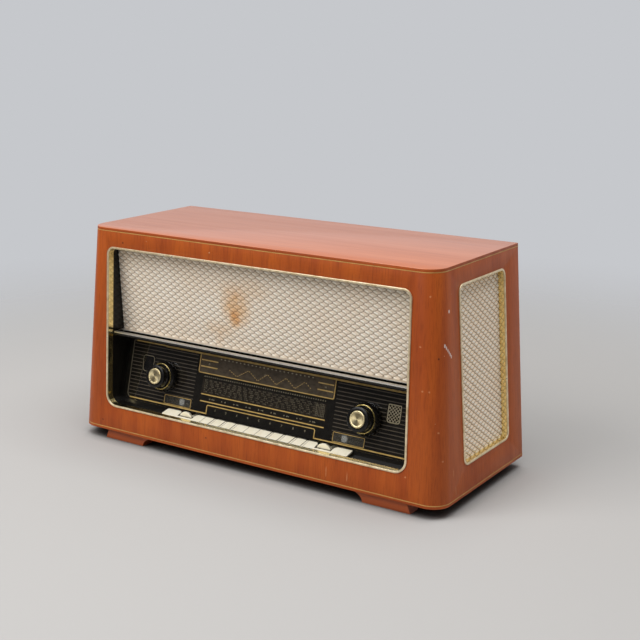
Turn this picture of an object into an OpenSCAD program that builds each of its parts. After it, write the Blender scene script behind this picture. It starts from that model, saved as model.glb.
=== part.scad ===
// Table radio receiver with a wooden cabinet, a row of piano keys and two double knobs

/* [Cabinet] */
// Width of the cabinet at its bottom edge
cab_w = 640; // [632:1:670]
// Depth of the cabinet
cab_d = 254; // [250:1:280]
// Height of the cabinet without its feet
cab_h = 316; // [312:1:330]
// How far each side leans in at the top
side_taper = 22; // [16:1:24]
// How far the front leans back at the top
front_lean = 15; // [12:1:17]
// Radius of the two bent front corners
corner_r = 27; // [22:1:32]
// Thickness of the bent front and sides
wall_t = 9; // [8:0.5:9.5]
// Thickness of the top and base boards
board_t = 12; // [10:0.5:14]
// Edge of the boards that shows above and below the bent walls
board_lip = 4.5; // [3.5:0.5:5.5]

/* [Front opening] */
// Wood left at each side of the opening, at its bottom
stile_w = 55; // [50:1:57]
// How much narrower each side of the opening is at the top
open_taper = 3.5; // [0:0.5:5]
// Wood left below the opening
bottom_rail = 41; // [39:0.5:42]
// Wood left above the opening
top_rail = 29; // [25:1:33]
// Corner radius at the bottom of the opening
open_r_low = 18; // [15:1:20]
// Corner radius at the top of the opening
open_r_top = 11; // [8:1:15]
// Width of the trim bead on the face
bead_w = 3.2; // [2.5:0.1:4]
// How far the trim bead stands out of the face
bead_h = 1.5; // [1:0.1:2]
// Depth of the trim flange into an opening
flange_d = 11; // [10.5:0.1:11.4]
// Thickness of the trim sheet
trim_t = 0.8; // [0.6:0.1:1]

/* [Side openings] */
// Front edge of the side opening, from the front of the cabinet
side_open_y = 70.6; // [66:0.2:76]
// Length of the side opening
side_open_l = 136; // [125:1:142]
// Bottom edge of the side opening
side_open_z = 42.8; // [38:0.2:48]
// Wood left above the side opening
side_top_rail = 28.2; // [26:0.2:42]
// Corner radius of the side opening
side_open_r = 10; // [6:1:16]

/* [Speaker cloth and ledge] */
// Height of the ledge between the cloth and the dial
ledge_z = 155; // [153:0.5:158]
// Distance from the front of the ledge to the cloth
ledge_d = 25.5; // [23:0.5:28]
// Angle at which the cloth leans forward
cloth_lean = 4; // [2:0.5:5]
// Thickness of the speaker cloths
cloth_t = 1.2; // [0.8:0.1:1.6]
// Thickness of the baffle board
baffle_t = 8; // [6:0.5:10]
// Thickness of the black surround
surround_t = 3; // [2.5:0.1:3.5]
// Thickness of the polished rail
rail_t = 1.4; // [1:0.1:1.8]

/* [Dial] */
// Depth of the dial behind the face, at its foot
dial_set = 30; // [28:0.5:32]
// Angle at which the dial leans back
dial_lean = 14.4; // [12:0.2:15]
// Height of the dial glass, along its slope
dial_l = 98.5; // [96:0.5:99]
// Thickness of the dial glass
glass_t = 3; // [2.5:0.1:3.4]
// Depth of the light box behind the glass
box_d = 15; // [14.5:0.1:18]
// Thickness of the sheet metal
sheet_t = 1.2; // [1:0.1:1.5]
// Greatest distance of a pointer from the middle of the scale
pointer_run = 100; // [80:1:104]
// Width of a tone window
window_w = 52; // [46:1:54]
// Distance of a tone window's middle from the end of the dial
window_in = 107.5; // [105:0.5:111]

/* [Knobs] */
// Distance of a knob's axis from the end of the dial
knob_in = 81; // [77:1:85]
// Height of a knob's axis on the dial, along its slope
knob_s = 51.2; // [48:0.2:54]
// Radius of the inner knobs
knob_r = 17.5; // [15:0.5:18]
// Radius of the outer knobs
ring_knob_r = 23; // [21.5:0.5:25]
// Thickness of the outer knobs
ring_knob_t = 12; // [10:0.5:13]
// How far a knob's cap stands in front of the glass
knob_reach = 29; // [27:0.5:30]
// Radius of the brass caps
cap_r = 12; // [10:0.5:13]
// Radius of the inner shafts
shaft_r = 3; // [2.5:0.1:3.2]
// Wall of the tubular outer shafts
tube_t = 1.9; // [1.5:0.1:2.2]
// Clearance of a running fit, on the radius
run_gap = 0.06; // [0.03:0.01:0.1]

/* [Keys] */
// Distance from one key to the next
key_pitch = 20.2; // [19.6:0.1:20.4]
// Width of the ribs beside the outer keys
rib_w = 3.8; // [3:0.1:4.2]
// Depth of the row of keys
key_l = 19; // [17.5:0.5:19]
// Slope of the row of keys
key_slope = 12; // [9:0.5:12.5]
// Gap round each key
key_gap = 0.4; // [0.3:0.05:0.6]
// Radius of the thumbwheels
wheel_r = 13.2; // [12:0.1:13.4]
// Thickness of the thumbwheels
wheel_t = 5; // [4:0.1:6]
// Radius of the key pivot rod
pivot_r = 2; // [1.5:0.1:2.4]

/* [Inside] */
// Width of the chassis
chassis_w = 400; // [380:5:430]
// Space between the chassis and the back cover
chassis_gap = 29; // [25:1:34]
// Height of the chassis
chassis_h = 55; // [50:1:60]
// Space between a front loudspeaker and the edge of the cloth
speaker_margin = 7; // [5:1:13]
// Depth of the front loudspeakers
speaker_d = 62; // [52:1:68]
// Radius of the two side loudspeakers
tweeter_r = 48; // [42:1:54]
// Length of the ferrite rod
ferrite_l = 130; // [110:1:140]

/* [Back cover] */
// Thickness of the back cover
cover_t = 3; // [2.5:0.5:4]
// Depth of the back cover inside the cabinet
cover_in = 6; // [4:0.5:8]
// Width of a ventilation slot
slot_w = 4; // [3:0.5:5]
// Length of a ventilation slot
slot_l = 22; // [16:1:24]

/* [Feet] */
// Height of the feet
foot_h = 15; // [12:1:20]
// Length of a foot on the floor
foot_l = 75; // [65:1:85]
// Thickness of a foot
foot_w = 22; // [18:1:28]
// Distance of a foot from the front or rear edge
foot_in = 5; // [4:1:12]
// Distance of a foot's outer end from the side
foot_side = 48; // [44:1:60]

/* [Hidden] */

// Thin slab that starts a lofted block
skin = 0.01;
// Overshoot of a cutting tool
over = 1;
// Rest place of each tone indicator, from the middle of its window
indicator_off = 7.5;
// Clearance between the boards' plugs and the walls
plug_gap = 0.2;
// Layer of glue between the surround and the front
glue_t = 0.05;
// Clearance between parts that lie beside each other
side_gap = 0.3;

front_angle = atan(front_lean / cab_h);
side_angle = atan(side_taper / cab_h);
open_half_low = cab_w / 2 - stile_w;
open_half_top = open_half_low - open_taper;
open_low = bottom_rail;
open_top = cab_h - top_rail;
wall_n = wall_t * cos(front_angle);
side_n = wall_t * cos(side_angle);
cover_y = cab_d - cover_in - cover_t;
side_open_h = cab_h - side_open_z - side_top_rail;

// The ledge starts just behind the trim flange
ledge_y = front_y(ledge_z) + flange_d + 0.6;
cloth_y = ledge_y + ledge_d;
ledge_drop = 5;
rail_groove_y = 7.5;
rail_groove_w = 6;

// The dial's own frame: X across, Y into the set, Z up its slope
dial_z = 40;
dial_y = front_y(dial_z) + dial_set;
dial_low = 5.5;
dial_top = dial_low + dial_l;
dial_half = open_half_low - 4;
dial_r = 14;
back_y = glass_t + box_d;
window_s = 17;
knob_x = dial_half - knob_in;
window_x = dial_half - window_in;
eye_x = 41 - dial_half;
eye_s = 65;
eye_r = 9.5;
rail_s = dial_top - 4;
rail_rod_r = 1;
fm_y = glass_t + 5;
am_y = glass_t + 10;
carriage_w = 10;
carriage_h = 4;
rail_half = pointer_run + carriage_w / 2 + 3;
cord_t = 0.8;
pulley_r = 3;
cord_half = rail_half + 8;

tube_in = shaft_r + run_gap;
tube_r = tube_in + tube_t;
spool_r = tube_r + 1;
ring_back = 1.5;
knob_back = ring_back + ring_knob_t + 0.7;
rim_r = knob_r + 2.7;
rim_t = 1.5;

// The key deck's own frame: X across, Y up its slope, Z off its face
deck_y = front_y(open_low) + flange_d + 0.6;
deck_z = open_low + 0.2;
keys_half = (9 * key_pitch + rib_w) / 2;
well_in = keys_half + 17.2;
well_w = 27.5;
wheel_x = well_in + well_w / 2;
bezel_half = well_in + well_w + 28;
bezel_strip = 4;
bezel_floor = 24;
key_head_t = 11;
wheel_y = deck_y + 6.5;
wheel_z = deck_z - 4.9;
pivot_y = deck_y + 81.5;
pivot_z = deck_z - 10.2;
spindle_end = deck_y + 50;

chassis_y = pivot_y + 11;
chassis_d = cover_y - chassis_y - chassis_gap;
chassis_top = board_t + chassis_h;
drum_r = 44;
drum_x = 60;
drum_z = chassis_top + 34;
ferrite_y = 150;
ferrite_z = 205;

function half_w(z) = cab_w / 2 - side_taper * z / cab_h;
function front_y(z) = front_lean * z / cab_h;
function unit(v) = v / norm(v);

// Centre of the arc of radius r that rounds the corner q between p and s
function corner_centre(p, q, s, r) =
    let (u = unit(p - q), v = unit(s - q))
    q + unit(u + v) * r / sin(acos(u * v) / 2);

// Arc of radius r that rounds the corner q between p and s
function corner_arc(p, q, s, r, n) =
    let (
        u = unit(p - q),
        v = unit(s - q),
        half = acos(u * v) / 2,
        start = q + u * r / tan(half),
        c = corner_centre(p, q, s, r),
        side = sign((q.x - p.x) * (s.y - q.y) - (q.y - p.y) * (s.x - q.x)),
        from = atan2(start.y - c.y, start.x - c.x)
    )
    [for (i = [0:n]) c + r * [cos(from + side * (180 - 2 * half) * i / n),
                              sin(from + side * (180 - 2 * half) * i / n)]];

// Outline with each corner rounded by its own radius
function rounded(pts, radii, n = 8) =
    [for (i = [0:len(pts) - 1])
        let (
            p = pts[(i + len(pts) - 1) % len(pts)],
            q = pts[i],
            s = pts[(i + 1) % len(pts)]
        )
        each (radii[i] > 0 ? corner_arc(p, q, s, radii[i], n) : [q])];

function box_outline(x0, x1, y0, y1, r) =
    rounded([[x0, y0], [x1, y0], [x1, y1], [x0, y1]], [r, r, r, r]);

// Cabinet outline at height z, inside the outer face by inset
function cabinet_outline(inset, z, rear) =
    let (w = half_w(z) - inset, y = front_y(z) + inset, r = corner_r - inset)
    rounded([[-w, y], [w, y], [w, rear], [-w, rear]], [r, r, 0, 0]);

function front_outline(grow) =
    rounded(
        [[-open_half_low - grow, open_low - grow], [open_half_low + grow, open_low - grow],
         [open_half_top + grow, open_top + grow], [-open_half_top - grow, open_top + grow]],
        [open_r_low + grow, open_r_low + grow, open_r_top + grow, open_r_top + grow]);

function side_outline(grow) =
    box_outline(side_open_y - grow, side_open_y + side_open_l + grow,
                side_open_z - grow, side_open_z + side_open_h + grow, side_open_r + grow);

function dial_outline(grow) =
    rounded(
        [[-dial_half - grow, dial_low - grow], [dial_half + grow, dial_low - grow],
         [dial_half + grow, dial_top + grow], [-dial_half - grow, dial_top + grow]],
        [dial_r + grow, dial_r + grow, 0, 0]);

// Places a piece drawn from the cabinet's front bottom edge
module place() {
    translate([0, -cab_d / 2, foot_h]) children();
}

// Upright plate from depth y0 to y1, drawn as seen from the front
module plate(y0, y1) {
    translate([0, y1, 0]) rotate([90, 0, 0]) linear_extrude(y1 - y0) children();
}

// Upright plate from x0 to x1, drawn as seen from the side
module side_plate(x0, x1) {
    translate([x0, 0, 0]) rotate([90, 0, 90]) linear_extrude(x1 - x0) children();
}

module ring_of(outer, inner) {
    difference() {
        polygon(outer);
        polygon(inner);
    }
}

module on_front() {
    rotate([-front_angle, 0, 0]) children();
}

// Frame of the right side: X outwards, Z up its slope
module on_right() {
    translate([cab_w / 2, 0, 0]) rotate([0, -side_angle, 0]) children();
}

module both_sides() {
    on_right() children();
    mirror([1, 0, 0]) on_right() children();
}

module on_cloth() {
    translate([0, cloth_y, ledge_z]) rotate([cloth_lean, 0, 0]) children();
}

module on_dial() {
    translate([0, dial_y, dial_z]) rotate([-dial_lean, 0, 0]) children();
}

module on_deck() {
    translate([0, deck_y, deck_z]) rotate([key_slope, 0, 0]) children();
}

// Round bar along the dial's depth, from y0 to y1
module dial_bar(x, s, r, y0, y1) {
    translate([x, y1, s]) rotate([90, 0, 0]) cylinder(r = r, h = y1 - y0, $fn = 64);
}

module bar_y(x, y0, y1, z, r) {
    translate([x, y1, z]) rotate([90, 0, 0]) cylinder(r = r, h = y1 - y0, $fn = 64);
}

module bar_x(x0, x1, y, z, r) {
    translate([x0, y, z]) rotate([0, 90, 0]) cylinder(r = r, h = x1 - x0, $fn = 48);
}

module cabinet_block(inset, z0, z1, rear) {
    hull() {
        translate([0, 0, z0]) linear_extrude(skin)
            polygon(cabinet_outline(inset, z0 + skin, rear));
        translate([0, 0, z1 - skin]) linear_extrude(skin) polygon(cabinet_outline(inset, z1, rear));
    }
}

module cabinet_shell() {
    color("#9A4B24") place() difference() {
        cabinet_block(0, board_lip, cab_h - board_lip, cab_d);
        cabinet_block(wall_t, board_lip - over, cab_h - board_lip + over, cab_d + over);
        on_front() plate(-over, wall_t + over) polygon(front_outline(0));
        both_sides() side_plate(-wall_t - over, over) polygon(side_outline(0));
    }
}

module cabinet_board(lip_z, plug_z0, plug_z1) {
    cabinet_block(0, lip_z, lip_z + board_lip, cab_d);
    cabinet_block(wall_t + plug_gap, plug_z0, plug_z1, cover_y);
}

module cabinet_top() {
    color("#B5704A") place() cabinet_board(cab_h - board_lip, cab_h - board_t, cab_h - board_lip / 2);
}

module cabinet_base() {
    color("#8A4526") place() cabinet_board(0, board_lip / 2, board_t);
}

// Foot seen from the front, with a coved inner end
module foot_profile() {
    cove = foot_l / 3;
    out = cab_w / 2 - foot_side;
    inner = out - foot_l - cove;
    polygon(concat(
        [[out, -foot_h], [out - foot_h / 2.5, 0]],
        [for (i = [0:10]) [inner + cove * sin(9 * i), -foot_h * (1 - cos(9 * i))]]));
}

module feet() {
    color("#6E3320") place() for (side = [0, 1]) mirror([side, 0, 0]) {
        plate(foot_in, foot_in + foot_w) foot_profile();
        plate(cab_d - foot_in - foot_w, cab_d - foot_in) foot_profile();
    }
}

// Trim with a stepped bead on the face and a flange into the opening
module front_trim() {
    color("#C8B464") place() on_front() {
        plate(-bead_h / 2, 0) ring_of(front_outline(bead_w / 2), front_outline(-bead_w / 2));
        plate(-bead_h, -bead_h / 2) ring_of(front_outline(bead_w / 4), front_outline(-bead_w / 4));
        plate(0, flange_d) ring_of(front_outline(0), front_outline(-trim_t));
    }
}

module side_trims() {
    color("#C8B464") place() both_sides() {
        side_plate(0, bead_h / 2) ring_of(side_outline(bead_w / 2), side_outline(-bead_w / 2));
        side_plate(bead_h / 2, bead_h) ring_of(side_outline(bead_w / 4), side_outline(-bead_w / 4));
        side_plate(-side_n, 0) ring_of(side_outline(0), side_outline(-trim_t));
    }
}

side_border = 8;
side_board_t = 4;
tweeter_y = side_open_y + side_open_l / 2;
tweeter_z = side_open_z + side_open_h / 2;

module side_cloths() {
    color("#CDBFA4") place() both_sides()
        side_plate(-side_n - cloth_t, -side_n) polygon(side_outline(side_border));
}

module side_boards() {
    color("#A98758") place() both_sides() difference() {
        side_plate(-side_n - cloth_t - side_board_t, -side_n - cloth_t)
            polygon(side_outline(side_border));
        translate([-side_n - cloth_t - side_board_t - over, tweeter_y, tweeter_z])
            rotate([0, 90, 0]) cylinder(r = tweeter_r - 5, h = side_board_t + 2 * over, $fn = 96);
    }
}

// Loudspeaker with its mouth at z = 0 and its magnet behind
module loudspeaker(r, depth) {
    magnet_r = r * 0.5;
    rotate_extrude($fn = 96) polygon([
        [0, -depth * 0.62], [r * 0.3, -depth * 0.62], [r - 8, -1.5], [r, -1.5], [r, -3.5],
        [r - 7, -4], [r * 0.42, -depth * 0.7], [magnet_r, -depth * 0.7], [magnet_r, -depth],
        [0, -depth]]);
}

tweeter_d = 42;

module side_speakers() {
    color("#4A4A48") place() both_sides()
        translate([-side_n - cloth_t - side_board_t + 1.5, tweeter_y, tweeter_z])
            rotate([0, 90, 0]) loudspeaker(tweeter_r, tweeter_d);
}

cloth_half = open_half_low + surround_t;
cloth_top = open_top + surround_t + 3 - ledge_z;
speaker_x = 150;
speaker_s = cloth_top / 2 + 2;
speaker_r = cloth_top / 2 - speaker_margin;

module speaker_cloth() {
    color("#DDD2C2") place() on_cloth() translate([-cloth_half, 0, 0])
        cube([2 * cloth_half, cloth_t, cloth_top]);
}

module baffle_board() {
    color("#A98758") place() on_cloth() difference() {
        translate([-cloth_half, cloth_t, 0]) cube([2 * cloth_half, baffle_t, cab_h]);
        for (x = [-speaker_x, speaker_x])
            dial_bar(x, speaker_s, speaker_r - 5, cloth_t - over, cloth_t + baffle_t + over);
        rotate([-cloth_lean, 0, 0]) translate([-cab_w / 2, -cab_d, cab_h - board_t - ledge_z])
            cube([cab_w, 2 * cab_d, cab_h]);
    }
}

module front_speakers() {
    color("#4A4A48") place() on_cloth() for (x = [-speaker_x, speaker_x])
        translate([x, cloth_t + baffle_t - 1.5, speaker_s]) rotate([90, 0, 0])
            loudspeaker(speaker_r, speaker_d);
}

// Hood over the dial and ledge under the cloth, seen from the side
module ledge_profile() {
    top = on_dial_yz(0, dial_top);
    polygon([
        [ledge_y, ledge_z - ledge_drop], [ledge_y, ledge_z],
        [ledge_y + trim_t, ledge_z], [ledge_y + trim_t, ledge_z - rail_t],
        [cloth_y, ledge_z - rail_t], [cloth_y, ledge_z], [cloth_y + cloth_t + baffle_t, ledge_z],
        [top.x + glass_t + 1, ledge_z - 3], on_dial_yz(glass_t, dial_top + side_gap),
        on_dial_yz(-1.5, dial_top + side_gap), on_dial_yz(-1.5, dial_top + 1.5)]);
}

// Cabinet coordinates of a point on the dial, as depth and height
function on_dial_yz(y, s) =
    [dial_y + y * cos(dial_lean) + s * sin(dial_lean), dial_z + s * cos(dial_lean) - y * sin(dial_lean)];

module escutcheon() {
    deep = 90;
    color("#161514") place() difference() {
        union() {
            on_front() plate(wall_n + glue_t, deep)
                ring_of(front_outline(surround_t), front_outline(0));
            side_plate(-open_half_top, open_half_top) ledge_profile();
            on_dial() plate(-2, glass_t) difference() {
                translate([-open_half_low - 1, -1]) square([2 * open_half_low + 2, dial_top]);
                polygon(dial_outline(side_gap));
                translate([-open_half_low - over, dial_top - 2])
                    square([2 * open_half_low + 2 * over, 10]);
            }
        }
        on_cloth() translate([-cab_w / 2, 0, 0]) cube([cab_w, deep, cab_h]);
        on_dial() translate([-cab_w / 2, glass_t, -60]) cube([cab_w, deep, dial_top + 60]);
        translate([-bezel_half - side_gap, ledge_y - 15, 0])
            cube([2 * bezel_half + 2 * side_gap, 2 * deep, on_dial_yz(0, dial_low).y]);
    }
}

module dial_rail() {
    color("#C9C9CB") place() difference() {
        translate([-open_half_top + 1, ledge_y + trim_t, ledge_z - rail_t])
            cube([2 * open_half_top - 2, ledge_d - trim_t, rail_t]);
        translate([-open_half_low, ledge_y + rail_groove_y, ledge_z - rail_t / 2])
            cube([2 * open_half_low, rail_groove_w, rail_t]);
    }
}

module dial_glass() {
    color("#1B1A18") place() on_dial() difference() {
        plate(0, glass_t) polygon(dial_outline(0));
        for (x = [-knob_x, knob_x]) dial_bar(x, knob_s, tube_r + 2, -over, glass_t + over);
    }
}

// Light box with the pointer rails and the boss for each knob shaft
module dial_backplate() {
    half = dial_half - 8;
    flange_w = 12;
    color("#B9B4A4") place() on_dial() difference() {
        union() {
            plate(back_y, back_y + sheet_t)
                polygon(box_outline(-half, half, dial_low + 2, dial_top - 0.5, 3));
            for (side = [-1, 1]) {
                translate([side * (half - sheet_t / 2) - sheet_t / 2, glass_t, dial_low + 12])
                    cube([sheet_t, box_d + sheet_t / 2, dial_l - 16]);
                translate([side * (half + flange_w / 2 - sheet_t) - flange_w / 2, glass_t,
                           dial_low + 12])
                    cube([flange_w, sheet_t, dial_l - 16]);
                translate([side * (rail_half + 1) - 1, glass_t + 2, rail_s - 2])
                    cube([2, box_d - 2 + sheet_t / 2, 4]);
            }
            for (y = [fm_y, am_y]) bar_x(-rail_half - 1, rail_half + 1, y, rail_s, rail_rod_r);
            for (p = pulley_spots) dial_bar(p.x, p.y, pulley_r - 0.04, fm_y - 2, back_y + sheet_t / 2);
            dial_bar(knob_x, knob_s, shaft_r + 4, back_y - 1, back_y + 12);
        }
        for (x = [-knob_x, knob_x]) dial_bar(x, knob_s, shaft_r + run_gap, 0, back_y + 20);
        dial_bar(-knob_x, knob_s, shaft_r + 2, 0, back_y + 20);
        dial_bar(eye_x, eye_s, eye_r + 2, 0, back_y + 20);
        for (side = [-1, 1])
            translate([side * window_x - window_w / 4 - 2, back_y - over, window_s - 1.6])
                cube([window_w / 2 + 4, sheet_t + 2 * over, 3.2]);
    }
}

lamp_x = 60;

module dial_lamps() {
    color("#E9DFC2") place() on_dial() for (side = [-1, 1])
        translate([side * lamp_x, back_y, dial_low + 8]) rotate([90, 0, 0])
            rotate_extrude($fn = 32) polygon([
                [0, 0], [5, 0], [5, 1.5], [3, 1.5], [3, 2.5], [2.2, 3.4], [0, 3.8]]);
}

cord_r = pulley_r + cord_t;
cord_high = rail_s + cord_r;
cord_low = rail_s - cord_r;

// Corners of a cord's outer edge: along the rail, and round a shaft of radius r
function cord_path(r) =
    let (
        hub = [knob_x, knob_s],
        turn = [cord_half - 4, cord_low],
        end = [cord_half + 16, cord_high],
        u = unit((turn + end) / 2 - hub),
        n = [-u.y, u.x]
    )
    [[-cord_half, cord_low], turn, hub - r * u + r * n, hub - r * u - r * n, end,
     [-cord_half, cord_high]];

// Pulleys in the corners of the longer cord, a little smaller than its bends
pulley_spots =
    let (p = cord_path(spool_r + 1.4))
    [
        [-cord_half + cord_r, rail_s],
        corner_centre(p[0], p[1], p[2], pulley_r),
        corner_centre(p[3], p[4], p[5], cord_r)
    ];

// Closed cord from the spool at a knob up to the rail and along it
module cord_loop(y, r) {
    radii = [cord_r - 0.02, pulley_r, r, r, cord_r, cord_r - 0.02];
    outline = rounded(cord_path(r), radii);
    plate(y - cord_t / 2, y + cord_t / 2) difference() {
        polygon(outline);
        offset(delta = -cord_t) polygon(outline);
    }
}

module drive_cords() {
    color("#C8B98F") place() on_dial() {
        cord_loop(fm_y, tube_r + 1.4);
        cord_loop(am_y, spool_r + 1.4);
    }
}

module pointer(y) {
    difference() {
        translate([-carriage_w / 2, y - carriage_h / 2, rail_s - carriage_h / 2])
            cube([carriage_w, carriage_h, carriage_h]);
        bar_x(-carriage_w, carriage_w, y, rail_s, rail_rod_r + run_gap);
    }
    translate([-0.5, y - carriage_h / 2, dial_low + 20]) cube([1, 1, rail_s - dial_low - 21]);
}

module fm_pointer() {
    color("#D8402A") place() on_dial() pointer(fm_y);
}

module am_pointer() {
    color("#D8402A") place() on_dial() pointer(am_y);
}

// Inner knob with a waist, open at the back for its shaft
module inner_knob(x) {
    place_knob(x) difference() {
        rotate_extrude($fn = 96) polygon([
            [0, knob_back], [knob_r - 0.8, knob_back], [knob_r - 0.3, knob_back + 1],
            [knob_r - 0.3, knob_back + 3], [knob_r - 1.5, knob_back + 4.5],
            [knob_r - 1.5, knob_reach - 4.5], [knob_r, knob_reach - 3.4],
            [knob_r, knob_reach - 1.6], [knob_r - 1, knob_reach - 0.6],
            [cap_r + 0.6, knob_reach - 0.6], [cap_r, knob_reach - 1.4], [0, knob_reach - 1.4]]);
        translate([0, 0, knob_back - over]) cylinder(r = shaft_r, h = 9 + over, $fn = 64);
    }
}

// Frame of a knob: Z towards the listener
module place_knob(x) {
    place() on_dial() translate([x, 0, knob_s]) rotate([90, 0, 0]) children();
}

module knob_cap(x) {
    place_knob(x) translate([0, 0, knob_reach - 1.4]) rotate_extrude($fn = 96) polygon([
        [0, 0], [cap_r, 0], [cap_r, 0.9], [cap_r - 0.6, 1.4], [cap_r - 2, 1.4], [0, 0.8]]);
}

module ring_knob(x) {
    place_knob(x) difference() {
        rotate_extrude($fn = 96) polygon([
            [0, ring_back], [ring_knob_r - 1, ring_back], [ring_knob_r, ring_back + 1],
            [ring_knob_r, ring_back + ring_knob_t - 3], [rim_r + 0.6, ring_back + ring_knob_t],
            [0, ring_back + ring_knob_t]]);
        translate([0, 0, -over]) cylinder(r = tube_r, h = ring_knob_t + 5, $fn = 64);
    }
}

module knob_rim(x) {
    place_knob(x) translate([0, 0, ring_back + ring_knob_t]) difference() {
        cylinder(r = rim_r, h = rim_t, $fn = 96);
        translate([0, 0, -over]) cylinder(r = rim_r - 1.9, h = rim_t + 2 * over, $fn = 96);
    }
}

module tube_shaft(x, inner_end) {
    place() on_dial() difference() {
        dial_bar(x, knob_s, tube_r, -ring_back - ring_knob_t, inner_end);
        dial_bar(x, knob_s, tube_in, -ring_back - ring_knob_t - over, inner_end + over);
    }
}

module volume_knob() {
    color("#1C1A19") inner_knob(-knob_x);
}

module volume_cap() {
    color("#C9A85C") knob_cap(-knob_x);
}

module volume_shaft() {
    color("#A8A8A6") place() on_dial() dial_bar(-knob_x, knob_s, shaft_r, -knob_back - 9, back_y + 15);
}

module aerial_knob() {
    color("#1C1A19") ring_knob(-knob_x);
}

module aerial_rim() {
    color("#C9A85C") knob_rim(-knob_x);
}

module aerial_shaft() {
    color("#A8A8A6") tube_shaft(-knob_x, back_y - 4);
}

module am_knob() {
    color("#1C1A19") inner_knob(knob_x);
}

module am_cap() {
    color("#C9A85C") knob_cap(knob_x);
}

// Tuning shaft with the cord spool and a flywheel
module am_shaft() {
    color("#A8A8A6") place() on_dial() {
        dial_bar(knob_x, knob_s, shaft_r, -knob_back - 9, back_y + 26);
        dial_bar(knob_x, knob_s, spool_r, am_y - 1.5, am_y + 1.5);
        dial_bar(knob_x, knob_s, 22, back_y + 14, back_y + 22);
    }
}

module fm_knob() {
    color("#1C1A19") ring_knob(knob_x);
}

module fm_rim() {
    color("#C9A85C") knob_rim(knob_x);
}

module fm_shaft() {
    color("#A8A8A6") tube_shaft(knob_x, am_y - 2.5);
}

// Volume control behind the backplate, bored for the inner shaft
module volume_control() {
    color("#7A6A52") place() on_dial() difference() {
        union() {
            dial_bar(-knob_x, knob_s, 14, back_y + sheet_t, back_y + sheet_t + 12);
            dial_bar(-knob_x, knob_s, shaft_r + 2, back_y - 2, back_y + sheet_t + 1);
        }
        dial_bar(-knob_x, knob_s, shaft_r + run_gap, back_y - 3, back_y + 16);
    }
}

cap_w = 50;
cap_l = 56;
cap_h = 52;
cap_y = chassis_y + 16;
cap_x = drum_x - cap_w / 2;
plates = 7;
plate_t = 1;
plate_pitch = 6;
plate_y = cap_y + 8;
drum_y = chassis_y - 9;

// Tuning capacitor frame and fixed plates, with a bearing hole at each end
module tuning_capacitor() {
    color("#B8B8B4") place() difference() {
        union() {
            difference() {
                translate([cap_x, cap_y, chassis_top]) cube([cap_w, cap_l, cap_h]);
                translate([cap_x + 2, cap_y + 2, chassis_top + 2])
                    cube([cap_w - 4, cap_l - 4, cap_h]);
            }
            for (i = [0:plates - 2])
                translate([cap_x + 1, plate_y + plate_pitch * (i + 0.5), chassis_top + 1])
                    cube([cap_w - 2, plate_t, drum_z - chassis_top - shaft_r - 2]);
        }
        bar_y(drum_x, cap_y - over, cap_y + cap_l + over, drum_z, shaft_r + run_gap);
    }
}

// Rotor with its half-disc plates and the cord drum
module capacitor_rotor() {
    color("#D0D0CC") place() {
        bar_y(drum_x, drum_y, cap_y + cap_l + 3, drum_z, shaft_r);
        bar_y(drum_x, drum_y, drum_y + 5, drum_z, drum_r);
        for (i = [0:plates - 1]) difference() {
            bar_y(drum_x, plate_y + plate_pitch * i, plate_y + plate_pitch * i + plate_t, drum_z, 21);
            translate([drum_x - 50, cap_y, drum_z - 25]) cube([50 - shaft_r, cap_l, 50]);
        }
    }
}

ferrite_r = 5;
ferrite_post = 4;

// Ferrite rod on a hub that turns on the chassis post
module ferrite_aerial() {
    color("#5A5650") place() translate([0, ferrite_y, ferrite_z]) difference() {
        union() {
            cylinder(r = 9, h = 14, $fn = 64);
            translate([0, 0, 14 + ferrite_r - 1]) bar_x(-ferrite_l / 2, ferrite_l / 2, 0, 0, ferrite_r);
        }
        translate([0, 0, -over]) cylinder(r = ferrite_post + run_gap, h = 11, $fn = 64);
    }
}

module magic_eye() {
    color("#8FB8A0") place() on_dial() {
        dial_bar(eye_x, eye_s, eye_r, glass_t + 7, glass_t + 58);
        dial_bar(eye_x, eye_s, eye_r - 2, glass_t + 50, glass_t + 66);
    }
}

// Black shade between the glass and the backplate, which holds the tube
module eye_shade() {
    shade_w = 25;
    shade_l = 28;
    color("#1A1918") place() on_dial() difference() {
        translate([eye_x - shade_w / 2, glass_t, eye_s - shade_l / 2]) cube([shade_w, box_d, shade_l]);
        translate([eye_x - shade_w / 2 + 1.5, glass_t - over, eye_s - shade_l / 2 + 1.5])
            cube([shade_w - 3, box_d - 3 + over, shade_l - 3]);
        dial_bar(eye_x, eye_s, eye_r, glass_t, glass_t + box_d + over);
    }
}

// Left edge of a key's place in the row
function key_left(i) = -keys_half + i * key_pitch + (i > 5 ? rib_w : 0);
// The middle three keys fill their pitch, the others leave room for a rib
function key_width(i) = key_pitch - key_gap - (i > 2 && i < 6 ? 0 : rib_w);

module key(i) {
    w = key_width(i);
    x = key_left(i) + key_gap / 2;
    tail_w = 8;
    color("#EDE6CC") place() difference() {
        union() {
            on_deck() translate([x, 0, -key_head_t]) cube([w, key_l - key_gap, key_head_t]);
            translate([x + w / 2 - tail_w / 2, deck_y + 14, pivot_z - 1])
                cube([tail_w, pivot_y - deck_y - 14, 6]);
            bar_x(x + w / 2 - tail_w / 2, x + w / 2 + tail_w / 2, pivot_y, pivot_z, 5);
        }
        bar_x(x - over, x + w + over, pivot_y, pivot_z, pivot_r + run_gap);
    }
}

module key_1() { key(0); }
module key_2() { key(1); }
module key_3() { key(2); }
module key_4() { key(3); }
module key_5() { key(4); }
module key_6() { key(5); }
module key_7() { key(6); }
module key_8() { key(7); }
module key_9() { key(8); }

// Rib between two keys, as wide as the space that the keys leave
module key_rib(x) {
    translate([x + key_gap / 2, 0, -bezel_floor]) cube([rib_w - key_gap, key_l, bezel_floor - 0.4]);
}

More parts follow.
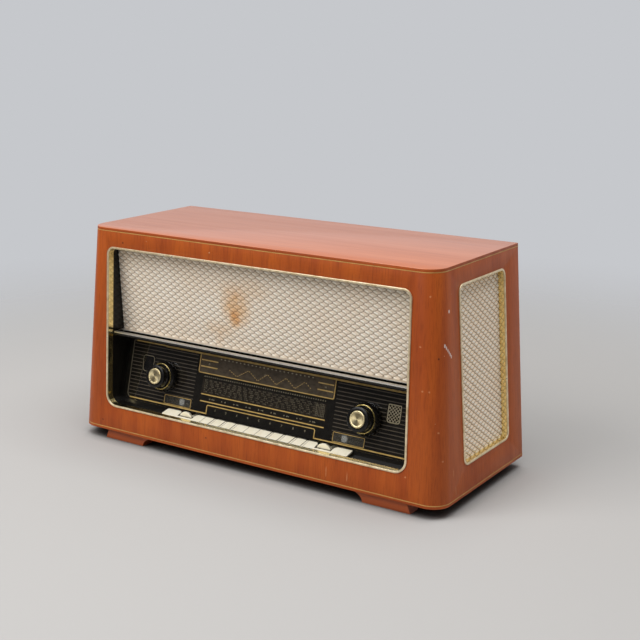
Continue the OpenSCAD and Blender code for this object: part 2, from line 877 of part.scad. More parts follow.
module key_bezel() {
    color("#EDE6CC") place() difference() {
        union() {
            on_deck() {
                for (i = [0, 1, 2, 6, 7, 8]) key_rib(key_left(i) + key_pitch - rib_w);
                key_rib(key_left(6) - rib_w);
                translate([-bezel_half, 0, -bezel_floor]) cube([2 * bezel_half, key_l, 2.5]);
                for (side = [0, 1]) mirror([side, 0, 0]) {
                    translate([0, 0, -bezel_floor]) linear_extrude(bezel_floor) polygon(rounded(
                        [[keys_half + key_gap / 2, 0], [well_in, 0], [well_in, key_l],
                         [keys_half + key_gap / 2, key_l]], [0, 0, 8, 0]));
                    translate([0, 0, -bezel_floor]) linear_extrude(bezel_floor) polygon(rounded(
                        [[well_in + well_w, 0], [bezel_half, 0], [bezel_half, key_l],
                         [well_in + well_w, key_l]], [0, 2, 4, 8]));
                    translate([well_in - 1, 0, -bezel_floor]) cube([well_w + 2, bezel_strip, bezel_floor]);
                }
            }
            for (side = [0, 1]) mirror([side, 0, 0])
                translate([well_in + well_w + 2, deck_y + 6, board_t])
                    cube([20, 8, deck_z - board_t - 10]);
        }
        for (side = [-1, 1])
            translate([side * wheel_x - well_w / 2, deck_y + bezel_strip + 1, 0])
                cube([well_w, 40, deck_z + 20]);
    }
}

// Frame that carries the key pivot rod and the wheel spindles
module key_frame() {
    cheek_x = keys_half + 6;
    color("#B4B4AE") place() difference() {
        union() {
            translate([-wheel_x - 14, deck_y + 38, board_t])
                cube([2 * wheel_x + 28, pivot_y + 8 - deck_y - 38, sheet_t]);
            for (side = [-1, 1]) {
                translate([side * cheek_x - sheet_t, pivot_y - 8, board_t])
                    cube([2 * sheet_t, 16, pivot_z + 7 - board_t]);
                translate([side * wheel_x - 9, deck_y + 42, board_t])
                    cube([18, 2 * sheet_t, wheel_z + 8 - board_t]);
            }
            bar_x(-cheek_x, cheek_x, pivot_y, pivot_z, pivot_r);
        }
        for (side = [-1, 1])
            bar_y(side * wheel_x, deck_y + 40, deck_y + 50, wheel_z, shaft_r + run_gap);
    }
}

module thumbwheel(side) {
    color("#E8E0C4") place() {
        bar_y(side * wheel_x, wheel_y, wheel_y + wheel_t, wheel_z, wheel_r);
        bar_y(side * wheel_x, wheel_y + wheel_t / 2, spindle_end, wheel_z, shaft_r);
    }
}

module bass_wheel() {
    thumbwheel(-1);
}

module treble_wheel() {
    thumbwheel(1);
}

// Light flag behind a tone window, on a stem in the backplate's slot
module indicator(side) {
    color("#E4E2DA") place() on_dial() {
        x = side * (window_x - indicator_off);
        translate([x - 4.5, glass_t + 1, window_s - 5]) cube([9, 1, 10]);
        dial_bar(x, window_s, 1.3, glass_t + 1.5, back_y + sheet_t + 2);
        dial_bar(x, window_s, 3, back_y + sheet_t + 0.3, back_y + sheet_t + 2);
    }
}

module bass_indicator() {
    indicator(-1);
}

module treble_indicator() {
    indicator(1);
}

module chassis() {
    color("#A6A69E") place() {
        difference() {
            translate([-chassis_w / 2, chassis_y, board_t]) cube([chassis_w, chassis_d, chassis_h]);
            translate([-chassis_w / 2 + sheet_t, chassis_y + sheet_t, board_t - over])
                cube([chassis_w - 2 * sheet_t, chassis_d - 2 * sheet_t,
                      chassis_h + over - sheet_t]);
        }
        translate([0, ferrite_y, chassis_top - sheet_t / 2])
            cylinder(r = ferrite_post + 3, h = ferrite_z - 0.5 - chassis_top + sheet_t / 2, $fn = 48);
        translate([0, ferrite_y, ferrite_z - 1]) cylinder(r = ferrite_post, h = 10, $fn = 64);
    }
}

// Each valve's place on the chassis: from its middle, and from its front edge
valve_spots = [[-170, 40], [-130, 62], [-90, 36], [-32, 58], [-30, 24], [112, 70]];
valve_r = 12;
valve_h = 63;
valve_base = 9;

module valve() {
    rotate_extrude($fn = 48) polygon([
        [0, 0], [valve_r, 0], [valve_r, valve_base], [valve_r - 1.5, valve_base + 1],
        [valve_r - 1.5, valve_h - 11], [valve_r - 5, valve_h - 5], [2, valve_h - 3], [0, valve_h]]);
}

module valves() {
    color("#A9B4B0") place() for (v = valve_spots)
        translate([v.x, chassis_y + v.y, chassis_top]) valve();
}

// Space between the parts on the chassis and its edges
edge_gap = 8;
output_size = [34, 30, 34];
mains_size = [40, 80, 66];
winding_size = [10, 56, 46];

module transformers() {
    mains_x = chassis_w / 2 - edge_gap - mains_size.x;
    middle = chassis_y + chassis_d / 2;
    color("#3C3A36") place() translate([0, 0, chassis_top]) {
        translate([-chassis_w / 2 + edge_gap, chassis_y + chassis_d - edge_gap - output_size.y, 0])
            cube(output_size);
        translate([mains_x, middle - mains_size.y / 2, 0]) cube(mains_size);
        translate([mains_x - winding_size.x, middle - winding_size.y / 2,
                   (mains_size.z - winding_size.z) / 2])
            cube([winding_size.x + over, winding_size.y, winding_size.z]);
    }
}

can_w = 24;
can_h = 62;
filter_can_r = 16;
filter_can_h = 70;
coupling_can_r = 12;
coupling_can_h = 48;

module screening_cans() {
    rear = chassis_y + chassis_d - edge_gap;
    color("#C4C4C0") place() translate([0, 0, chassis_top]) {
        for (x = [-112, -71]) translate([x, rear - can_w, 0]) cube([can_w, can_w, can_h]);
        translate([16, rear - coupling_can_r, 0])
            cylinder(r = coupling_can_r, h = coupling_can_h, $fn = 64);
        translate([118, chassis_y + filter_can_r + 6, 0])
            cylinder(r = filter_can_r, h = filter_can_h, $fn = 64);
    }
}

slot_pitch = 22;
slot_cols = floor((2 * half_w(cab_h) - 2 * wall_t - 60) / slot_pitch);
slot_rows = 6;
slot_row_pitch = slot_l + 12;
socket_x = -120;
inlet_x = 150;
rear_z = 34;
socket_w = 96;
socket_h = 22;

module cover_outline() {
    low = half_w(board_lip) - wall_t - 1;
    high = half_w(cab_h - board_lip) - wall_t - 1;
    polygon([[-low, board_lip + 0.5], [low, board_lip + 0.5],
             [high, cab_h - board_lip - 0.5], [-high, cab_h - board_lip - 0.5]]);
}

screw_r = 1.75;
screw_x = half_w(cab_h) - 78;
// Screws go into the middle of the boards' plugs
screw_z = (board_t + board_lip) / 2;
screw_spots = [for (x = [-screw_x, 0, screw_x], z = [screw_z, cab_h - screw_z]) [x, z]];

module back_cover() {
    color("#8C6A45") place() plate(cover_y, cover_y + cover_t) difference() {
        cover_outline();
        for (i = [0:slot_cols - 1], j = [0:slot_rows - 1])
            translate([(i - (slot_cols - 1) / 2) * slot_pitch - slot_w / 2, 84 + j * slot_row_pitch])
                square([slot_w, slot_l]);
        translate([socket_x - socket_w / 2, rear_z - socket_h / 2]) square([socket_w, socket_h]);
        translate([inlet_x, rear_z]) circle(r = 9, $fn = 64);
        for (p = screw_spots) translate(p) circle(r = screw_r, $fn = 32);
    }
}

// Round-head wood screws that hold the back cover
module back_screws() {
    color("#B9A36A") place() for (p = screw_spots)
        translate([p.x, cover_y + cover_t, p.y]) rotate([-90, 0, 0]) {
            rotate_extrude($fn = 32) polygon([[0, 0], [3.6, 0], [3.2, 1.2], [1.8, 2.1], [0, 2.3]]);
            translate([0, 0, -cover_t]) cylinder(r = screw_r, h = cover_t, $fn = 32);
        }
}

socket_pitch = 19;
plug_r = 2;
lead_r = 4;

// One socket for a plug pin, in a block that the cover's opening frames
module rear_socket() {
    block_w = socket_pitch - 2 * side_gap;
    difference() {
        union() {
            translate([-block_w / 2, cover_y - 8, rear_z - socket_h / 2 - 4])
                cube([block_w, 8, socket_h + 8]);
            translate([-block_w / 2, cover_y - over, rear_z - socket_h / 2 + side_gap])
                cube([block_w, over + cover_t, socket_h - 2 * side_gap]);
        }
        bar_y(0, cover_y - 7, cover_y + cover_t + over, rear_z, plug_r);
    }
}

// Sockets for aerial, earth, pick-up and extension, and the mains inlet
module rear_sockets() {
    color("#3A2E24") place() {
        for (i = [-2:2]) translate([socket_x + i * socket_pitch, 0, 0]) rear_socket();
        difference() {
            union() {
                bar_y(inlet_x, cover_y - 3, cover_y + cover_t + 2, rear_z, 8.7);
                bar_y(inlet_x, cover_y + cover_t, cover_y + cover_t + 2, rear_z, 12);
            }
            bar_y(inlet_x, cover_y - 5, cover_y + cover_t + 5, rear_z, lead_r);
        }
    }
}

cabinet_shell();
cabinet_top();
cabinet_base();
feet();
front_trim();
side_trims();
side_cloths();
side_boards();
side_speakers();
speaker_cloth();
baffle_board();
front_speakers();
escutcheon();
dial_rail();
dial_glass();
dial_backplate();
dial_lamps();
drive_cords();
fm_pointer();
am_pointer();
volume_knob();
volume_cap();
volume_shaft();
aerial_knob();
aerial_rim();
aerial_shaft();
am_knob();
am_cap();
am_shaft();
fm_knob();
fm_rim();
fm_shaft();
volume_control();
tuning_capacitor();
capacitor_rotor();
ferrite_aerial();
magic_eye();
eye_shade();
key_1();
key_2();
key_3();
key_4();
key_5();
key_6();
key_7();
key_8();
key_9();
key_bezel();
key_frame();
bass_wheel();
treble_wheel();
bass_indicator();
treble_indicator();
chassis();
valves();
transformers();
screening_cans();
back_cover();
back_screws();
rear_sockets();
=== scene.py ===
"""Looks of a table radio receiver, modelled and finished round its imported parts.

Each sub-assembly is a class that works in millimetres in the cabinet's own frame: its front
bottom edge lies at y 0 and z 0, X runs to the listener's right and Y into the set.
"""

import logging
import math
import random
from dataclasses import dataclass, field, replace
from enum import Enum
from typing import Callable, Iterable, Optional, Sequence

import bmesh
import bpy
from mathutils import Matrix, Vector


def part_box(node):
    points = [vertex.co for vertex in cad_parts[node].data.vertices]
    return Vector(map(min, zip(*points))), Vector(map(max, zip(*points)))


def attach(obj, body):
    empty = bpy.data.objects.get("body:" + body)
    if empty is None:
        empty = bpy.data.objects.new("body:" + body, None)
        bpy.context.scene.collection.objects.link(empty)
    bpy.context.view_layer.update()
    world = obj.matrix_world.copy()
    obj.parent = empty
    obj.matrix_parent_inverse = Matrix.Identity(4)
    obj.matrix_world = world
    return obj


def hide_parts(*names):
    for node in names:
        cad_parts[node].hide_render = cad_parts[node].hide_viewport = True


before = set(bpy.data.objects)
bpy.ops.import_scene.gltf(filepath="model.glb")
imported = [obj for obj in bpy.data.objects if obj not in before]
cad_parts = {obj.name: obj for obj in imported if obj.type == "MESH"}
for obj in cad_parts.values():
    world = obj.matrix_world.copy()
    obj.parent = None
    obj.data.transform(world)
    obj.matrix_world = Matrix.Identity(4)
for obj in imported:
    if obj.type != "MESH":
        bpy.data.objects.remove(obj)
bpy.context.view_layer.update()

log = logging.getLogger("radio")
MM = 0.001
MIRROR = Matrix.Scale(-1, 4, (1, 0, 0))
# Farther than the set reaches, in metres
FAR = 9.0
# How near to a plane or a corner counts as on it, in millimetres
TOUCH = 0.01
# How far a cutter reaches past what it cuts, in millimetres
PAST = 20.0
# Steps round a corner of an outline
ROUND_STEPS = 10
# Places of the thumbwheels to either side of the middle, in millimetres
WHEEL_X = 123.75
# Pitch of the keys, in millimetres
KEY_PITCH = 20.2

Point = Sequence[float]
Size = tuple[float, float, float]
Test = Callable[[Vector, Vector], bool]
Socket = bpy.types.NodeSocket


class Part(Enum):
    """What an edit-mode selection is made of."""

    VERTS = "VERT"
    EDGES = "EDGE"
    FACES = "FACE"


class Body(Enum):
    """The bodies that modelled pieces ride on."""

    CABINET = "cabinet"
    VOLUME = "volume"
    AERIAL = "aerial_turner"
    AM = "am_tuning"
    FM = "fm_tuning"
    BASS = "bass"
    TREBLE = "treble"


def shift(x: float = 0.0, y: float = 0.0, z: float = 0.0) -> Matrix:
    """A move, as a matrix."""
    return Matrix.Translation((x, y, z))


def turn(degrees: float, axis: str) -> Matrix:
    """A turn about an axis, as a matrix."""
    return Matrix.Rotation(math.radians(degrees), 4, axis)


def deselect() -> None:
    """Leave edit mode and deselect every object."""
    if bpy.context.object is not None and bpy.context.object.mode != "OBJECT":
        bpy.ops.object.mode_set(mode="OBJECT")
    bpy.ops.object.select_all(action="DESELECT")


class Workpiece:
    """One piece on the bench: a mesh in millimetres, shaped in edit mode as by hand."""

    def __init__(self, thing: bpy.types.Object) -> None:
        """Take over an object."""
        self.thing = thing

    @classmethod
    def added(cls, name: str, add: Callable, scale: Point = (1, 1, 1),
              **settings: object) -> "Workpiece":
        """Add an object by an operator, and apply its place and its scale to its mesh.

        Args:
            name: Name of the object and of its mesh.
            add: The operator.
            scale: Scale along X, Y and Z.
            settings: The operator's settings.

        Returns:
            The piece.
        """
        deselect()
        add(**settings)
        thing = bpy.context.object
        thing.name = name
        thing.data.name = name
        thing.scale = scale
        bpy.ops.object.transform_apply(location=True, rotation=True, scale=True)
        return cls(thing)

    @classmethod
    def cube(cls, name: str, low: Point, high: Point) -> "Workpiece":
        """Add a cube between two corners."""
        return cls.added(name, bpy.ops.mesh.primitive_cube_add,
                         [b - a for a, b in zip(low, high)], size=1,
                         location=[(a + b) / 2 for a, b in zip(low, high)])

    @classmethod
    def panel(cls, name: str, x0: float, x1: float, z0: float, z1: float) -> "Workpiece":
        """Add an upright plane that faces -Y."""
        return cls.added(name, bpy.ops.mesh.primitive_plane_add, (x1 - x0, z1 - z0, 1), size=1,
                         location=((x0 + x1) / 2, 0, (z0 + z1) / 2), rotation=(math.pi / 2, 0, 0))

    @classmethod
    def disc(cls, name: str, radius: float, sides: int, z: float = 0.0) -> "Workpiece":
        """Add a round face that faces +Z."""
        return cls.added(name, bpy.ops.mesh.primitive_circle_add, vertices=sides, radius=radius,
                         location=(0, 0, z), fill_type="NGON")

    @classmethod
    def rod(cls, name: str, radius: float, z0: float, z1: float, sides: int = 64) -> "Workpiece":
        """Add a cylinder along Z."""
        return cls.added(name, bpy.ops.mesh.primitive_cylinder_add, vertices=sides, radius=radius,
                         depth=z1 - z0, location=(0, 0, (z0 + z1) / 2))

    @classmethod
    def number(cls, text: str, size: float) -> "Workpiece":
        """Add a plain number in the XZ plane, facing -Y, with its foot on z 0."""
        deselect()
        bpy.ops.object.text_add()
        letters = bpy.context.object.data
        letters.body = text
        letters.align_x = "CENTER"
        letters.size = size
        letters.resolution_u = 3
        bpy.ops.object.convert(target="MESH")
        return cls(bpy.context.object).turned(turn(90, "X"))

    @classmethod
    def lathe(cls, name: str, sides: int, z: float, start: float,
              *cuts: tuple[float, float]) -> "Workpiece":
        """Turn a piece from a disc: each cut extrudes the top face and sizes it.

        Args:
            name: Name of the piece.
            sides: Number of sides.
            z: Height of the disc.
            start: Radius of the disc.
            cuts: Pairs of a radius and how far the face rises on the way there.

        Returns:
            The piece, with its axis along Z.
        """
        piece = cls.disc(name, start, sides, z)
        piece.pick(Part.FACES)
        radius = start
        for wanted, rise in cuts:
            piece.extrude(z=rise)
            z += rise
            piece.stretch(wanted / radius, wanted / radius, 1, about=(0, 0, z))
            radius = wanted
        return piece.outwards()

    def alone(self) -> None:
        """Select this piece and nothing else."""
        deselect()
        self.thing.select_set(True)
        bpy.context.view_layer.objects.active = self.thing

    def pick(self, kind: Part, test: Optional[Test] = None) -> "Workpiece":
        """Select what passes a test of its place and of its normal or direction.

        Args:
            kind: Vertices, edges or faces.
            test: Called with the place and the normal, or an edge's direction. All if None.

        Returns:
            This piece, in edit mode.
        """
        if self.thing.mode != "EDIT":
            self.alone()
            bpy.ops.object.mode_set(mode="EDIT")
        bpy.ops.mesh.select_mode(type=kind.value)
        bpy.ops.mesh.select_all(action="DESELECT" if test else "SELECT")
        if test:
            mesh = bmesh.from_edit_mesh(self.thing.data)
            mesh.normal_update()
            if kind is Part.FACES:
                found = [f for f in mesh.faces if test(f.calc_center_median(), f.normal)]
            elif kind is Part.EDGES:
                found = [e for e in mesh.edges
                         if test((e.verts[0].co + e.verts[1].co) / 2,
                                 (e.verts[1].co - e.verts[0].co).normalized())]
            else:
                found = [v for v in mesh.verts if test(v.co, v.normal)]
            for element in found:
                element.select_set(True)
            mesh.select_flush_mode()
            bmesh.update_edit_mesh(self.thing.data)
        return self

    def move(self, x: float = 0.0, y: float = 0.0, z: float = 0.0) -> "Workpiece":
        """Move the selection."""
        bpy.ops.transform.translate(value=(x, y, z))
        return self

    def stretch(self, x: float = 1.0, y: float = 1.0, z: float = 1.0,
                about: Point = (0, 0, 0)) -> "Workpiece":
        """Scale the selection about a point."""
        bpy.ops.transform.resize(value=(x, y, z), center_override=about)
        return self

    def extrude(self, x: float = 0.0, y: float = 0.0, z: float = 0.0) -> "Workpiece":
        """Extrude the selected faces."""
        bpy.ops.mesh.extrude_region_move(TRANSFORM_OT_translate={"value": (x, y, z)})
        return self

    def inset(self, width: float, depth: float = 0.0, each: bool = False) -> "Workpiece":
        """Inset the selected faces, together or each by itself."""
        bpy.ops.mesh.inset(thickness=width, depth=depth, use_individual=each)
        return self

    def bevel(self, width: float, segments: int = 2, corners: bool = False) -> "Workpiece":
        """Bevel the selected edges, or round the selected corners."""
        bpy.ops.mesh.bevel(offset_type="OFFSET", offset=width, segments=segments, profile=0.5,
                           affect="VERTICES" if corners else "EDGES")
        return self

    def delete(self, kind: Part = Part.FACES) -> "Workpiece":
        """Delete the selected parts."""
        bpy.ops.mesh.delete(type=kind.value)
        return self

    def bisect(self, point: Point, normal: Point, close: bool = True,
               cut: bool = True) -> "Workpiece":
        """Score the piece along a plane, and cut off what lies on the normal's side."""
        self.pick(Part.FACES)
        bpy.ops.mesh.bisect(plane_co=point, plane_no=normal, use_fill=close and cut,
                            clear_outer=cut)
        return self

    def trimmed(self, area: "Outline", close: bool = True) -> "Workpiece":
        """Cut off what lies outside an outline's box."""
        for at, normal in ((area.x0, (-1, 0, 0)), (area.x1, (1, 0, 0))):
            self.bisect((at, 0, 0), normal, close)
        for at, normal in ((area.z0, (0, 0, -1)), (area.z1, (0, 0, 1))):
            self.bisect((0, 0, at), normal, close)
        return self

    def milled(self, sides: int, low: float, high: float, depth: float) -> "Workpiece":
        """Mill every other side face of a turned piece, so that ribs are left between them.

        Args:
            sides: Number of sides round the piece.
            low: Height that the side faces are above.
            high: Height that they are below.
            depth: Depth of a groove.

        Returns:
            This piece, in edit mode.
        """
        step = 2 * math.pi / sides

        def is_groove(place: Vector, normal: Vector) -> bool:
            """Whether a face is a side face with an even number, between the two heights."""
            number = round(math.atan2(place.y, place.x) / step - 0.5)
            return number % 2 == 0 and low < place.z < high and abs(normal.z) < 0.3

        self.pick(Part.FACES, is_groove)
        bpy.ops.mesh.extrude_faces_move(TRANSFORM_OT_shrink_fatten={"value": -depth})
        return self

    def merge(self) -> "Workpiece":
        """Merge the vertices that lie on each other."""
        self.pick(Part.VERTS)
        bpy.ops.mesh.remove_doubles(threshold=TOUCH)
        return self

    def outwards(self) -> "Workpiece":
        """Turn every face outwards."""
        self.pick(Part.FACES)
        bpy.ops.mesh.normals_make_consistent(inside=False)
        return self

    def modify(self, kind: str, **settings: object) -> "Workpiece":
        """Add a modifier with its settings and apply it."""
        self.alone()
        modifier = self.thing.modifiers.new(kind.lower(), kind)
        for key, value in settings.items():
            setattr(modifier, key, value)
        bpy.ops.object.modifier_apply(modifier=modifier.name)
        return self

    def minus(self, *cutters: "Workpiece") -> "Workpiece":
        """Cut other pieces out of this one and throw them away."""
        for cutter in cutters:
            cutter.outwards()
            deselect()
            self.modify("BOOLEAN", object=cutter.thing, operation="DIFFERENCE", solver="EXACT")
            bpy.data.objects.remove(cutter.thing)
        return self

    def join(self, *others: "Workpiece") -> "Workpiece":
        """Make other pieces part of this one."""
        self.alone()
        for other in others:
            other.thing.select_set(True)
        bpy.ops.object.join()
        return self

    def copied(self, name: Optional[str] = None) -> "Workpiece":
        """Copy this piece, with a mesh of its own."""
        self.alone()
        thing = self.thing.copy()
        thing.data = self.thing.data.copy()
        thing.name = name or self.thing.name
        bpy.context.collection.objects.link(thing)
        return Workpiece(thing)

    def turned(self, matrix: Matrix) -> "Workpiece":
        """Turn, move or mirror the whole mesh by a matrix."""
        self.alone()
        self.thing.data.transform(matrix)
        if matrix.determinant() < 0:
            self.thing.data.flip_normals()
        return self

    def row(self, count: int, x: float = 0.0, z: float = 0.0) -> "Workpiece":
        """Repeat the piece at even steps."""
        return self.modify("ARRAY", count=count, use_relative_offset=False,
                           use_constant_offset=True, constant_offset_displace=(x, 0, z))

    def soften(self, width: float, segments: int = 2, angle: float = 35.0) -> "Workpiece":
        """Break the sharp edges with a small bevel."""
        return self.modify("BEVEL", width=width, segments=segments, limit_method="ANGLE",
                           angle_limit=math.radians(angle))

    def record(self, name: str, kind: str, value: Callable[[Vector], object]) -> "Workpiece":
        """Store a value at each vertex, for a material to read."""
        self.alone()
        field_name = "vector" if kind == "FLOAT_VECTOR" else "value"
        layer = self.thing.data.attributes.new(name, kind, "POINT")
        for vertex, entry in zip(self.thing.data.vertices, layer.data):
            setattr(entry, field_name, value(vertex.co))
        return self

    def line_with(self, finish: "Finish", test: Test) -> "Workpiece":
        """Give the faces that pass a test a second finish, once the piece is shaped."""
        self.alone()
        if not self.thing.data.materials:
            self.thing.data.materials.append(None)
        self.thing.data.materials.append(finish.material())
        for face in self.thing.data.polygons:
            if test(face.center, face.normal):
                face.material_index = len(self.thing.data.materials) - 1
        return self

    def done(self, place: Matrix, finish: "Finish", slot: Optional[str] = None,
             stands_for: Iterable[str] = (), body: Body = Body.CABINET,
             smooth: float = 35.0) -> bpy.types.Object:
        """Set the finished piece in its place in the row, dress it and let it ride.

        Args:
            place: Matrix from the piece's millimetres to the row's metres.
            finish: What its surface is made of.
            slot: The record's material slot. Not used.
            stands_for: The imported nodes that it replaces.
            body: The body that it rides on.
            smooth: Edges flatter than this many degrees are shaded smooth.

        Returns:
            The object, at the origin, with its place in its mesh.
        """
        self.turned(place)
        bpy.ops.object.shade_smooth_by_angle(angle=math.radians(smooth))
        if len(self.thing.data.materials):
            self.thing.data.materials[0] = finish.material()
        else:
            self.thing.data.materials.append(finish.material())
        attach(self.thing, body.value)
        for node in stands_for:
            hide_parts(node)
        log.info("%s: %d faces", self.thing.name, len(self.thing.data.polygons))
        return self.thing


@dataclass(frozen=True)
class Outline:
    """A four-sided outline in an upright plane, with round corners and a top that may taper."""

    x0: float
    x1: float
    z0: float
    z1: float
    r_low: float = 0.0
    r_top: float = 0.0
    taper: float = 0.0

    def grown(self, by: float) -> "Outline":
        """The same outline moved outwards."""
        return Outline(self.x0 - by, self.x1 + by, self.z0 - by, self.z1 + by,
                       max(self.r_low + by, 0), max(self.r_top + by, 0), self.taper)

    def mirrored(self) -> "Outline":
        """The same outline on the other side of the middle."""
        return replace(self, x0=-self.x1, x1=-self.x0)

    def face(self, name: str) -> Workpiece:
        """The outline as one face that looks towards -Y."""
        piece = Workpiece.panel(name, self.x0, self.x1, self.z0, self.z1)
        half, middle = (self.x1 - self.x0) / 2, (self.x0 + self.x1) / 2
        piece.pick(Part.VERTS, lambda p, n: p.z > self.z1 - TOUCH)
        piece.stretch(x=(half - self.taper) / half, about=(middle, 0, 0))
        if self.r_low:
            piece.pick(Part.VERTS, lambda p, n: p.z < self.z0 + TOUCH)
            piece.bevel(self.r_low, ROUND_STEPS, corners=True)
        if self.r_top:
            piece.pick(Part.VERTS, lambda p, n: p.z > self.z1 - TOUCH)
            piece.bevel(self.r_top, ROUND_STEPS, corners=True)
        return piece

    def slab(self, name: str, y0: float, y1: float) -> Workpiece:
        """The outline as a plate between two depths."""
        piece = self.face(name)
        piece.pick(Part.FACES).move(y=y0)
        piece.extrude(y=y1 - y0)
        return piece.outwards()

    def ring(self, name: str, width: float, y0: float, y1: float) -> Workpiece:
        """A band inside the outline, between two depths."""
        piece = self.face(name)
        piece.pick(Part.FACES).move(y=y0)
        piece.inset(width).delete()
        piece.pick(Part.FACES).extrude(y=y1 - y0)
        return piece.outwards()


@dataclass(frozen=True)
class Form:
    """Driving dimensions of the set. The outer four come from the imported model."""

    width: float
    depth: float
    height: float
    foot: float
    side_taper: float = 22.0
    front_lean: float = 15.0
    corner: float = 27.0
    wall: float = 9.0
    board: float = 12.0
    lip: float = 4.5
    stile: float = 55.0
    bottom_rail: float = 41.0
    top_rail: float = 29.0
    front_radii: tuple[float, float] = (18.0, 11.0)
    front_taper: float = 3.5
    flange: float = 11.0
    ledge_z: float = 155.0
    ledge_gap: float = 0.6
    ledge_depth: float = 25.5
    cloth_lean: float = 4.0
    dial_z: float = 40.0
    dial_set: float = 30.0
    dial_lean: float = 14.4
    side_open_y: float = 70.6
    side_open_length: float = 136.0
    side_open_z: float = 42.8
    side_open_height: float = 245.0
    side_open_radius: float = 10.0

    @classmethod
    def measured(cls) -> "Form":
        """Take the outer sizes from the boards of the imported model.

        Returns:
            The form, with the other sizes as drawn.
        """
        low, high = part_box("cabinet_base")
        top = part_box("cabinet_top")[1]
        return cls(width=(high.x - low.x) / MM, depth=(high.y - low.y) / MM,
                   height=(top.z - low.z) / MM, foot=low.z / MM)

    def front_y(self, z: float) -> float:
        """Depth of the leaning front at a height."""
        return self.front_lean * z / self.height

    def half_width(self, z: float) -> float:
        """Half of the cabinet's width at a height."""
        return self.width / 2 - self.side_taper * z / self.height

    @property
    def front_opening(self) -> Outline:
        """The front opening, seen square to the leaning front."""
        half = self.width / 2 - self.stile
        return Outline(-half, half, self.bottom_rail, self.height - self.top_rail,
                       *self.front_radii, self.front_taper)

    @property
    def side_opening(self) -> Outline:
        """A side opening, seen square to its side, with X to the rear."""
        return Outline(self.side_open_y, self.side_open_y + self.side_open_length,
                       self.side_open_z, self.side_open_z + self.side_open_height,
                       self.side_open_radius, self.side_open_radius)

    @property
    def ledge_y(self) -> float:
        """Depth of the ledge's front edge, just behind the trim flange."""
        return self.front_y(self.ledge_z) + self.flange + self.ledge_gap

    @property
    def row(self) -> Matrix:
        """From the cabinet's frame in millimetres to the row's frame in metres."""
        return Matrix.Scale(MM, 4) @ shift(0, -self.depth / 2, self.foot)

    @property
    def front(self) -> Matrix:
        """Frame of the leaning front: X across, Z up its slope."""
        return turn(-math.degrees(math.atan(self.front_lean / self.height)), "X")

    @property
    def sides(self) -> tuple[Matrix, Matrix]:
        """Frames of the right and the left side, drawn as seen from outside the right one."""
        lean = math.degrees(math.atan(self.side_taper / self.height))
        right = shift(self.width / 2) @ turn(-lean, "Y") @ turn(90, "Z")
        return right, MIRROR @ right

    @property
    def cloth(self) -> Matrix:
        """Frame of the front cloth, which leans forward from the ledge."""
        foot = shift(0, self.ledge_y + self.ledge_depth, self.ledge_z)
        return foot @ turn(self.cloth_lean, "X")

    @property
    def dial(self) -> Matrix:
        """Frame of the dial: X across, Y into the set, Z up its slope."""
        foot = shift(0, self.front_y(self.dial_z) + self.dial_set, self.dial_z)
        return foot @ turn(-self.dial_lean, "X")


def linear(colour: str) -> tuple[float, float, float, float]:
    """Turn an sRGB hex colour into the linear RGBA that a socket takes."""
    shares = [int(colour[i:i + 2], 16) / 255 for i in (1, 3, 5)]
    red, green, blue = (share / 12.92 if share <= 0.04045 else ((share + 0.055) / 1.055) ** 2.4
                        for share in shares)
    return red, green, blue, 1.0


